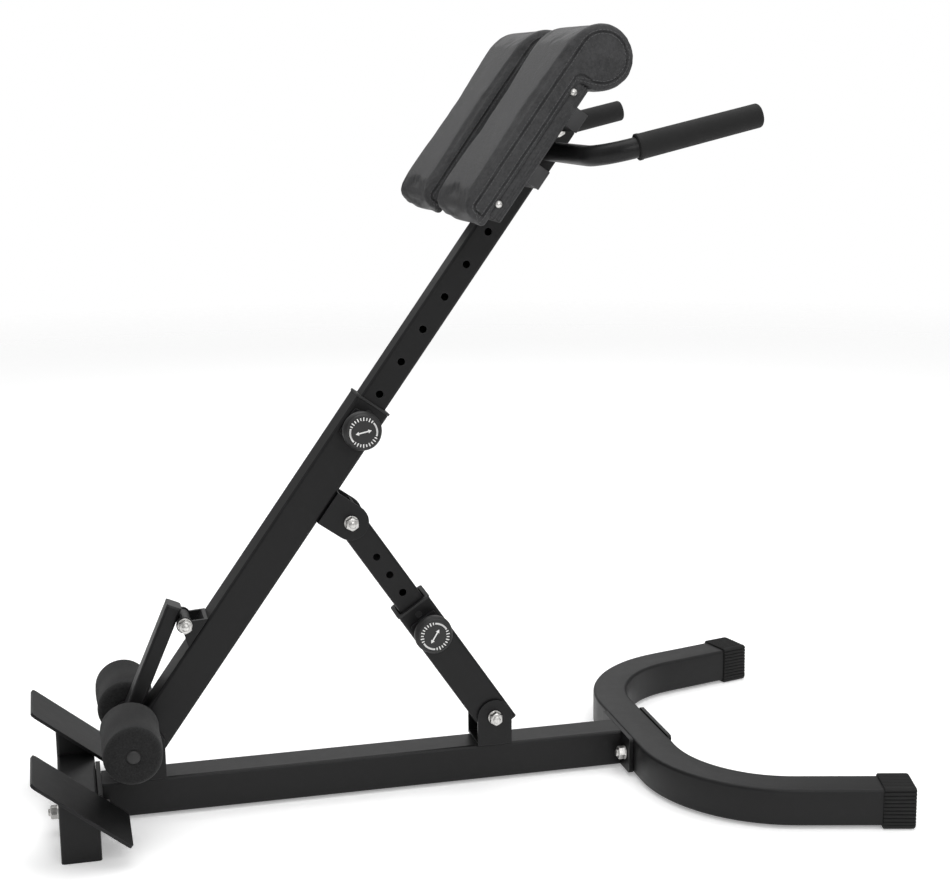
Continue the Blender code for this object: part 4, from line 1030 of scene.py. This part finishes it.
def swollen(block, own, back):
    """Remeshes the block into cloth, fills it with foam pressure and keeps its back flat."""
    apply_modifier(block, "REMESH", mode="VOXEL", voxel_size=own.voxel)
    apply_modifier(block, "SMOOTH", factor=0.5, iterations=2)
    before = vertex_rows(block.data)
    held = block.vertex_groups.new(name="glued_back")
    glued = np.flatnonzero(before[:, 0] > back - own.voxel * 1.2)
    roll = np.flatnonzero(before[:, 2] > before[:, 2].max() - 0.072)
    held.add([int(i) for i in np.setdiff1d(glued, roll)], 1.0, "REPLACE")
    scene = bpy.context.scene
    only(block)
    cloth = block.modifiers.new("Foam", "CLOTH")
    cloth.settings.quality = 6
    cloth.settings.mass = 0.25
    cloth.settings.tension_stiffness = 22
    cloth.settings.compression_stiffness = 22
    cloth.settings.shear_stiffness = 12
    cloth.settings.bending_stiffness = 1.2
    cloth.settings.use_pressure = True
    cloth.settings.uniform_pressure_force = own.pressure
    cloth.settings.effector_weights.gravity = 0
    cloth.settings.vertex_group_mass = held.name
    cloth.point_cache.frame_end = FOAM_FRAMES
    for step in range(1, FOAM_FRAMES + 1):
        scene.frame_set(step)
    bpy.ops.object.modifier_apply(modifier=cloth.name)
    scene.frame_set(1)
    block.vertex_groups.clear()
    moved = vertex_rows(block.data) - before
    reach = np.linalg.norm(moved, axis=1, keepdims=True)
    after = before + moved * np.minimum(1.0, own.swell_limit / np.maximum(reach, 1e-9))
    block.data.vertices.foreach_set("co", after.ravel())
    block.data.update()
    return block


def sew(pad, own, outline, half_width, low, high, back):
    """Presses the side seams, their puckers and the gathered folds into the cover."""
    levels = 2
    apply_modifier(pad, "SUBSURF", levels=levels, render_levels=levels)
    mesh = pad.data
    points, normals = vertex_rows(mesh), vertex_rows(mesh, "normal")
    depth, run = outline_distance(points[:, [0, 2]], outline)
    side = np.clip((np.abs(points[:, 1]) - half_width + 0.014) / 0.006, 0, 1)
    flat = np.clip((np.abs(normals[:, 1]) - 0.35) / 0.3, 0, 1) * side
    seam = np.exp(-(((depth - own.seam_inset) / own.seam_width) ** 2))
    beside = np.exp(-(((depth - own.seam_inset) / 0.0052) ** 2))
    puckers = np.sin(run / 0.0052 + 1.7 * np.sin(run / 0.021)) + 0.6 * np.sin(run / 0.0031 + 0.8)
    in_roll = np.clip((points[:, 2] - (high.z - 0.090)) / 0.020, 0, 1)
    in_foot = np.clip(((low.z + 0.030) - points[:, 2]) / 0.012, 0, 1)
    strength = 0.25 + 0.75 * np.maximum(in_roll, in_foot)
    lift = -own.seam_depth * seam * flat
    lift += 0.00055 * beside * (1 - seam) * flat
    lift += 0.00030 * puckers * beside * strength * side
    rear = np.clip((points[:, 0] - (low.x + 0.016)) / 0.008, 0, 1)
    folds = np.sin((points[:, 0] - low.x) / 0.0024 + 1.4 * np.sin(points[:, 1] / 0.019))
    lift += 0.00085 * folds * in_foot * rear * (1 - flat)
    waves = np.sin(points[:, 1] / 0.0082 + 2 * np.sin(points[:, 1] / 0.031)) * np.sin(run / 0.012)
    back_of_roll = in_roll * np.clip((points[:, 0] - back) / 0.015, 0, 1)
    lift += 0.00045 * waves * back_of_roll
    points = points + normals * lift[:, None]
    mesh.vertices.foreach_set("co", points.ravel())
    mesh.update()


def stitched(pad, own, outline, half_width):
    """Two rows of thread beside each side seam, laid on the sewn cover."""
    tree = BVHTree.FromObject(pad, bpy.context.evaluated_depsgraph_get())
    corners = [Vector(p) for p in outline] + [Vector(outline[0])]
    pitch = own.stitch + own.stitch_gap
    master = start("cylinder", vertices=6, radius=own.thread, depth=own.stitch)
    bevelled(master, own.thread * 0.6, 1, math.radians(60))
    shape = np.array([tuple(v.co) for v in master.data.vertices])
    faces = [tuple(face.vertices) for face in master.data.polygons]
    bpy.data.objects.remove(master)
    all_points, all_faces = [], []
    for row in (-own.stitch_rows, own.stitch_rows):
        for sign in (-1, 1):
            for spot, along in stitch_spots(corners, own.seam_inset + row, pitch):
                origin = Vector((spot.x, sign * (half_width + 0.03), spot.y))
                hit, normal, _, _ = tree.ray_cast(origin, Vector((0, -sign, 0)), 0.05)
                if hit is None or abs(normal.y) < 0.45:
                    continue
                heading = Vector((along.x, 0, along.y))
                heading = (heading - normal * heading.dot(normal)).normalized()
                side = normal.cross(heading)
                frame_rows = np.array((tuple(side), tuple(normal), tuple(heading)))
                centre = np.array(tuple(hit + normal * own.thread * 0.35))
                first = len(all_points) * len(shape)
                all_points.append(shape @ frame_rows + centre)
                all_faces.extend(tuple(first + i for i in face) for face in faces)
    mesh = bpy.data.meshes.new("stitches")
    mesh.from_pydata(np.concatenate(all_points).tolist(), [], all_faces)
    rows = bpy.data.objects.new("stitches", mesh)
    bpy.context.scene.collection.objects.link(rows)
    edit(rows)
    close_edit()
    return rows


def stitch_spots(corners, inset, pitch):
    """Evenly spaced spots inside an outline, each with the direction that the seam runs in."""
    centre_line = []
    for before, here, after in zip([corners[-2]] + corners[:-2], corners[:-1], corners[1:]):
        run = (after - before).normalized()
        inward = Vector((-run.y, run.x))
        centre_line.append(here - inward * inset)
    centre_line.append(centre_line[0])
    travelled, due = 0.0, 0.0
    for first, second in zip(centre_line, centre_line[1:]):
        span = second - first
        size = span.length
        while due < travelled + size and size > 1e-6:
            yield first + span * ((due - travelled) / size), span / size
            due += pitch
        travelled += size


def build_pads():
    """Two upholstered hip pads with a roll at the top, sewn sides and a wrapped board."""
    own = sizes("roman_pads")
    for side, sign in SIDES:
        low, high = extent(f"pad_{side}", POST)
        board_low, board_high = extent(f"pad_board_{side}", POST)
        middle = (low.y + high.y) / 2
        half_width = (high.y - low.y) / 2
        back = board_low.x
        outline = pad_outline(own, low, high, back, board_high.x, board_high.z, own.shrink)
        block = raw_pad(outline, half_width - own.shrink, own.edge)
        pad = swollen(block, own, back)
        true_outline = pad_outline(own, low, high, back, board_high.x, board_high.z, 0.0)
        sew(pad, own, true_outline, half_width, low, high, back)
        rows = stitched(pad, own, true_outline, half_width)
        place = POST @ Matrix.Translation((0, middle, 0))
        put(pad, place)
        put(rows, place)
        declare(pad, f"hip_pad_{side}", "mast", "pad_vinyl", (f"pad_{side}",))
        declare(rows, f"pad_stitches_{side}", "mast", "pad_thread")
        build_pad_back(side, board_low, board_high, low, high)
        build_pad_screws(side, sign, board_low, board_high, high if sign > 0 else low)


def build_pad_back(side, low, high, pad_low, pad_high):
    """The board with the cover wrapped round it, its hem standing in two thin welts."""
    tuck = 0.0045
    depth, width, height = high.x - low.x + tuck, pad_high.y - pad_low.y - 0.0016, high.z - low.z
    middle = Vector(((high.x + low.x - tuck) / 2, (low.y + high.y) / 2, (low.z + high.z) / 2))
    slab = put(start("cube", size=1.0), Matrix.Diagonal((depth, width, height, 1)))
    bevelled(slab, 0.0026, 3)
    layers = [slab]
    for share in (-0.02, 0.20, 0.36):
        welt = start("cube", size=1.0)
        put(welt, Matrix.Diagonal((0.0022, width + 0.0010, height + 0.0010, 1)))
        bevelled(welt, 0.0009, 2)
        layers.append(put(welt, Matrix.Translation((depth * share, 0, 0))))
    back = put(joined(layers), POST @ Matrix.Translation(middle))
    declare(back, f"wrapped_board_{side}", "mast", "pad_vinyl", (f"pad_board_{side}",))


def build_pad_screws(side, sign, low, high, outer):
    """Bright button screws into the outer edge of a pad's board."""
    edge = outer.y - sign * 0.0006
    master = turned([(0.0046, 0)] + dome(0.0046, 0.0030), 28)
    for spot, share in (("lower", 0.09), ("upper", 0.93)):
        height = low.z + (high.z - low.z) * share
        place = POST @ pointing((low.x - 0.002, edge, height), (0, sign, 0))
        screw = put(copied(master), place)
        declare(screw, f"{spot}_pad_screw_{side}", "mast", "zinc_plate")
    bpy.data.objects.remove(master)


def build_crossbar_plugs():
    """Square plugs in both ends of each crossbar."""
    for node in ("lower_crossbar", "upper_crossbar"):
        low, high = extent(node, POST)
        middle = (low + high) / 2
        for side, sign in SIDES:
            head = start("cube", size=1.0)
            put(head, Matrix.Diagonal((high.x - low.x + 0.0006, 0.003, high.z - low.z + 0.0006, 1)))
            bevelled(head, 0.0010, 3)
            stem = start("cube", size=1.0)
            put(stem, Matrix.Diagonal((high.x - low.x - 0.0036, 0.010, high.z - low.z - 0.0036, 1)))
            put(stem, Matrix.Translation((0, -sign * 0.006, 0)))
            end = high.y if sign > 0 else low.y
            place = POST @ Matrix.Translation((middle.x, end + sign * 0.0018, middle.z))
            plug = put(joined([head, stem]), place)
            declare(plug, f"{node}_plug_{side}", "mast", "plug_plastic")


# --- finishes on the frame's own nodes ------------------------------------------------------------
SLOT_LOOKS = {
    "black_paint": "powder_coat",
    "black_plastic": "black_plastic",
    "zinc": "zinc_plate",
    "black_rubber": "cap_rubber",
    "black_vinyl": "pad_vinyl",
    "black_board": "pad_board",
    "black_foam": "roller_foam",
}


def finish_frame():
    slots = {part["node"]: part["material_slot"] for part in frame["record"]["subparts"]}
    for name, piece in frame["nodes"].items():
        look = "trodden_coat" if name.startswith("foot_plate") else SLOT_LOOKS[slots[name]]
        for place in piece.material_slots:
            place.material = finish(look)


# --- studio ---------------------------------------------------------------------------------------
def soft_light(name, place, aim, size, power):
    data = bpy.data.lights.new(name, "AREA")
    data.shape = "RECTANGLE"
    data.size, data.size_y = size
    data.energy = power
    lamp = bpy.data.objects.new(name, data)
    bpy.context.scene.collection.objects.link(lamp)
    lamp.location = place
    lamp.rotation_euler = (Vector(aim) - Vector(place)).to_track_quat("-Z", "Y").to_euler()


def build_world():
    """Even pale light, dimmer towards the horizon, with a white backdrop behind it."""
    world = bpy.data.worlds.new("studio")
    bpy.context.scene.world = world
    world.use_nodes = True
    tree = world.node_tree
    nodes, links = tree.nodes, tree.links
    light = nodes["Background"]
    backdrop = nodes.new("ShaderNodeBackground")
    backdrop.inputs["Color"].default_value = (1, 1, 1, 1)
    backdrop.inputs["Strength"].default_value = 1.0
    coordinates = nodes.new("ShaderNodeTexCoord")
    split = nodes.new("ShaderNodeSeparateXYZ")
    links.new(coordinates.outputs["Generated"], split.inputs[0])
    ramp = nodes.new("ShaderNodeMapRange")
    ramp.inputs["From Min"].default_value = -0.1
    ramp.inputs["From Max"].default_value = 0.9
    ramp.inputs["To Min"].default_value, ramp.inputs["To Max"].default_value = SKY_LIGHT
    links.new(split.outputs[2], ramp.inputs["Value"])
    links.new(ramp.outputs[0], light.inputs["Strength"])
    light.inputs["Color"].default_value = (1, 1, 1, 1)
    paths = nodes.new("ShaderNodeLightPath")
    mix = nodes.new("ShaderNodeMixShader")
    links.new(paths.outputs["Is Camera Ray"], mix.inputs[0])
    links.new(light.outputs[0], mix.inputs[1])
    links.new(backdrop.outputs[0], mix.inputs[2])
    links.new(mix.outputs[0], nodes["World Output"].inputs["Surface"])


def build_camera():
    """The camera in front of the right-hand side, a little above the hand grips."""
    data = bpy.data.cameras.new("camera")
    data.lens = CAMERA_LENS
    data.sensor_fit = "HORIZONTAL"
    data.sensor_width = 36.0
    data.clip_end = 100.0
    camera = bpy.data.objects.new("camera", data)
    bpy.context.scene.collection.objects.link(camera)
    pitch, yaw, roll = CAMERA_PITCH, CAMERA_YAW, CAMERA_ROLL
    ahead = Vector((math.sin(yaw) * math.cos(pitch), math.cos(yaw) * math.cos(pitch), -math.sin(pitch)))
    level = Vector((math.cos(yaw), -math.sin(yaw), 0))
    above = level.cross(ahead)
    right = level * math.cos(roll) + above * math.sin(roll)
    top = above * math.cos(roll) - level * math.sin(roll)
    turn = Matrix((right, top, -ahead)).transposed().to_4x4()
    camera.matrix_world = Matrix.Translation(CAMERA_PLACE) @ turn
    bpy.context.scene.camera = camera


def build_studio():
    floor = start("circle", vertices=96, radius=6.0, fill_type="NGON", location=(0, 0, -0.0003))
    apply_place()
    edit_all(floor)
    bpy.ops.mesh.inset(thickness=4.0, depth=0.0)
    bpy.ops.object.mode_set(mode="OBJECT")
    floor.name = "studio_floor"
    floor.data.materials.append(finish("studio_floor"))
    floor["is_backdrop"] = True
    soft_light("overhead", (0.2, 0.2, 3.2), (0, 0, 0.3), (3.2, 3.2), 64)
    soft_light("front_softbox", (0.4, -3.4, 2.0), (0, 0, 0.6), (2.0, 1.6), 40)
    soft_light("left_softbox", (-3.0, -0.8, 1.9), (0, 0, 0.5), (1.6, 2.2), 6)
    soft_light("right_softbox", (2.8, -1.6, 2.2), (0.1, 0, 0.5), (1.6, 2.2), 18)
    soft_light("back_softbox", (0.6, 3.2, 2.0), (0, 0, 0.5), (2.6, 1.8), 16)
    build_world()
    build_camera()
    bpy.context.scene.view_settings.view_transform = "Standard"


# --- operators, panel and main --------------------------------------------------------------------
class ROMAN_OT_finish_frame(bpy.types.Operator):
    """Gives every frame node its finish"""

    bl_idname = "roman.finish_frame"
    bl_label = "Finish frame"
    bl_options = {"REGISTER", "UNDO"}

    def execute(self, context):
        finish_frame()
        return {"FINISHED"}


class ROMAN_OT_add_u_tube(bpy.types.Operator):
    """Adds the bent front foot tube"""

    bl_idname = "roman.add_u_tube"
    bl_label = "Front foot"
    bl_options = {"REGISTER", "UNDO"}

    def execute(self, context):
        build_u_tube()
        return {"FINISHED"}


class ROMAN_OT_add_handlebar(bpy.types.Operator):
    """Adds the handlebar and its grips"""

    bl_idname = "roman.add_handlebar"
    bl_label = "Handlebar"
    bl_options = {"REGISTER", "UNDO"}

    def execute(self, context):
        build_handlebar()
        return {"FINISHED"}


class ROMAN_OT_add_end_caps(bpy.types.Operator):
    """Adds the ribbed end caps"""

    bl_idname = "roman.add_end_caps"
    bl_label = "End caps"
    bl_options = {"REGISTER", "UNDO"}

    def execute(self, context):
        build_end_caps()
        return {"FINISHED"}


class ROMAN_OT_add_bolts(bpy.types.Operator):
    """Adds the bolts, washers and nuts"""

    bl_idname = "roman.add_bolts"
    bl_label = "Bolts"
    bl_options = {"REGISTER", "UNDO"}

    def execute(self, context):
        build_bolts()
        return {"FINISHED"}


class ROMAN_OT_add_knobs(bpy.types.Operator):
    """Adds the pull knobs and their marks"""

    bl_idname = "roman.add_knobs"
    bl_label = "Knobs"
    bl_options = {"REGISTER", "UNDO"}

    def execute(self, context):
        build_knobs()
        return {"FINISHED"}


class ROMAN_OT_add_rollers(bpy.types.Operator):
    """Adds the foam rollers and their plugs"""

    bl_idname = "roman.add_rollers"
    bl_label = "Rollers"
    bl_options = {"REGISTER", "UNDO"}

    def execute(self, context):
        build_rollers()
        return {"FINISHED"}


class ROMAN_OT_add_pads(bpy.types.Operator):
    """Adds the sewn hip pads"""

    bl_idname = "roman.add_pads"
    bl_label = "Pads"
    bl_options = {"REGISTER", "UNDO"}

    def execute(self, context):
        build_pads()
        return {"FINISHED"}


class ROMAN_OT_add_plugs(bpy.types.Operator):
    """Adds the crossbars' end plugs"""

    bl_idname = "roman.add_plugs"
    bl_label = "Crossbar plugs"
    bl_options = {"REGISTER", "UNDO"}

    def execute(self, context):
        build_crossbar_plugs()
        return {"FINISHED"}


class ROMAN_OT_add_studio(bpy.types.Operator):
    """Adds the floor, lights and camera"""

    bl_idname = "roman.add_studio"
    bl_label = "Studio"
    bl_options = {"REGISTER", "UNDO"}

    def execute(self, context):
        build_studio()
        return {"FINISHED"}


OPERATORS = (
    ROMAN_OT_finish_frame,
    ROMAN_OT_add_u_tube,
    ROMAN_OT_add_handlebar,
    ROMAN_OT_add_end_caps,
    ROMAN_OT_add_bolts,
    ROMAN_OT_add_knobs,
    ROMAN_OT_add_rollers,
    ROMAN_OT_add_pads,
    ROMAN_OT_add_plugs,
    ROMAN_OT_add_studio,
)


class ROMAN_PT_looks(bpy.types.Panel):
    """Lists the buttons that add the pieces of the bench"""

    bl_label = "Roman Chair"
    bl_space_type = "VIEW_3D"
    bl_region_type = "UI"
    bl_category = "Roman Chair"

    def draw(self, context):
        for maker in OPERATORS:
            self.layout.operator(maker.bl_idname)


GROUPS = {
    "roman_pads": ROMAN_PG_pads,
    "roman_frame": ROMAN_PG_frame,
    "roman_finishes": ROMAN_PG_finishes,
}


def register():
    for name, group in GROUPS.items():
        bpy.utils.register_class(group)
        setattr(bpy.types.Scene, name, PointerProperty(type=group))
    for made in (*OPERATORS, ROMAN_PT_looks):
        bpy.utils.register_class(made)


def unregister():
    for made in (ROMAN_PT_looks, *reversed(OPERATORS)):
        bpy.utils.unregister_class(made)
    for name, group in reversed(GROUPS.items()):
        delattr(bpy.types.Scene, name)
        bpy.utils.unregister_class(group)


def main():
    register()
    for maker in OPERATORS:
        group, name = maker.bl_idname.split(".")
        getattr(getattr(bpy.ops, group), name)()
    boxes = {"cad": CAD_BOX, "visual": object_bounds()}
    {key: [list(corner) for corner in box] for key, box in boxes.items()}


if __name__ == "__main__":
    main()
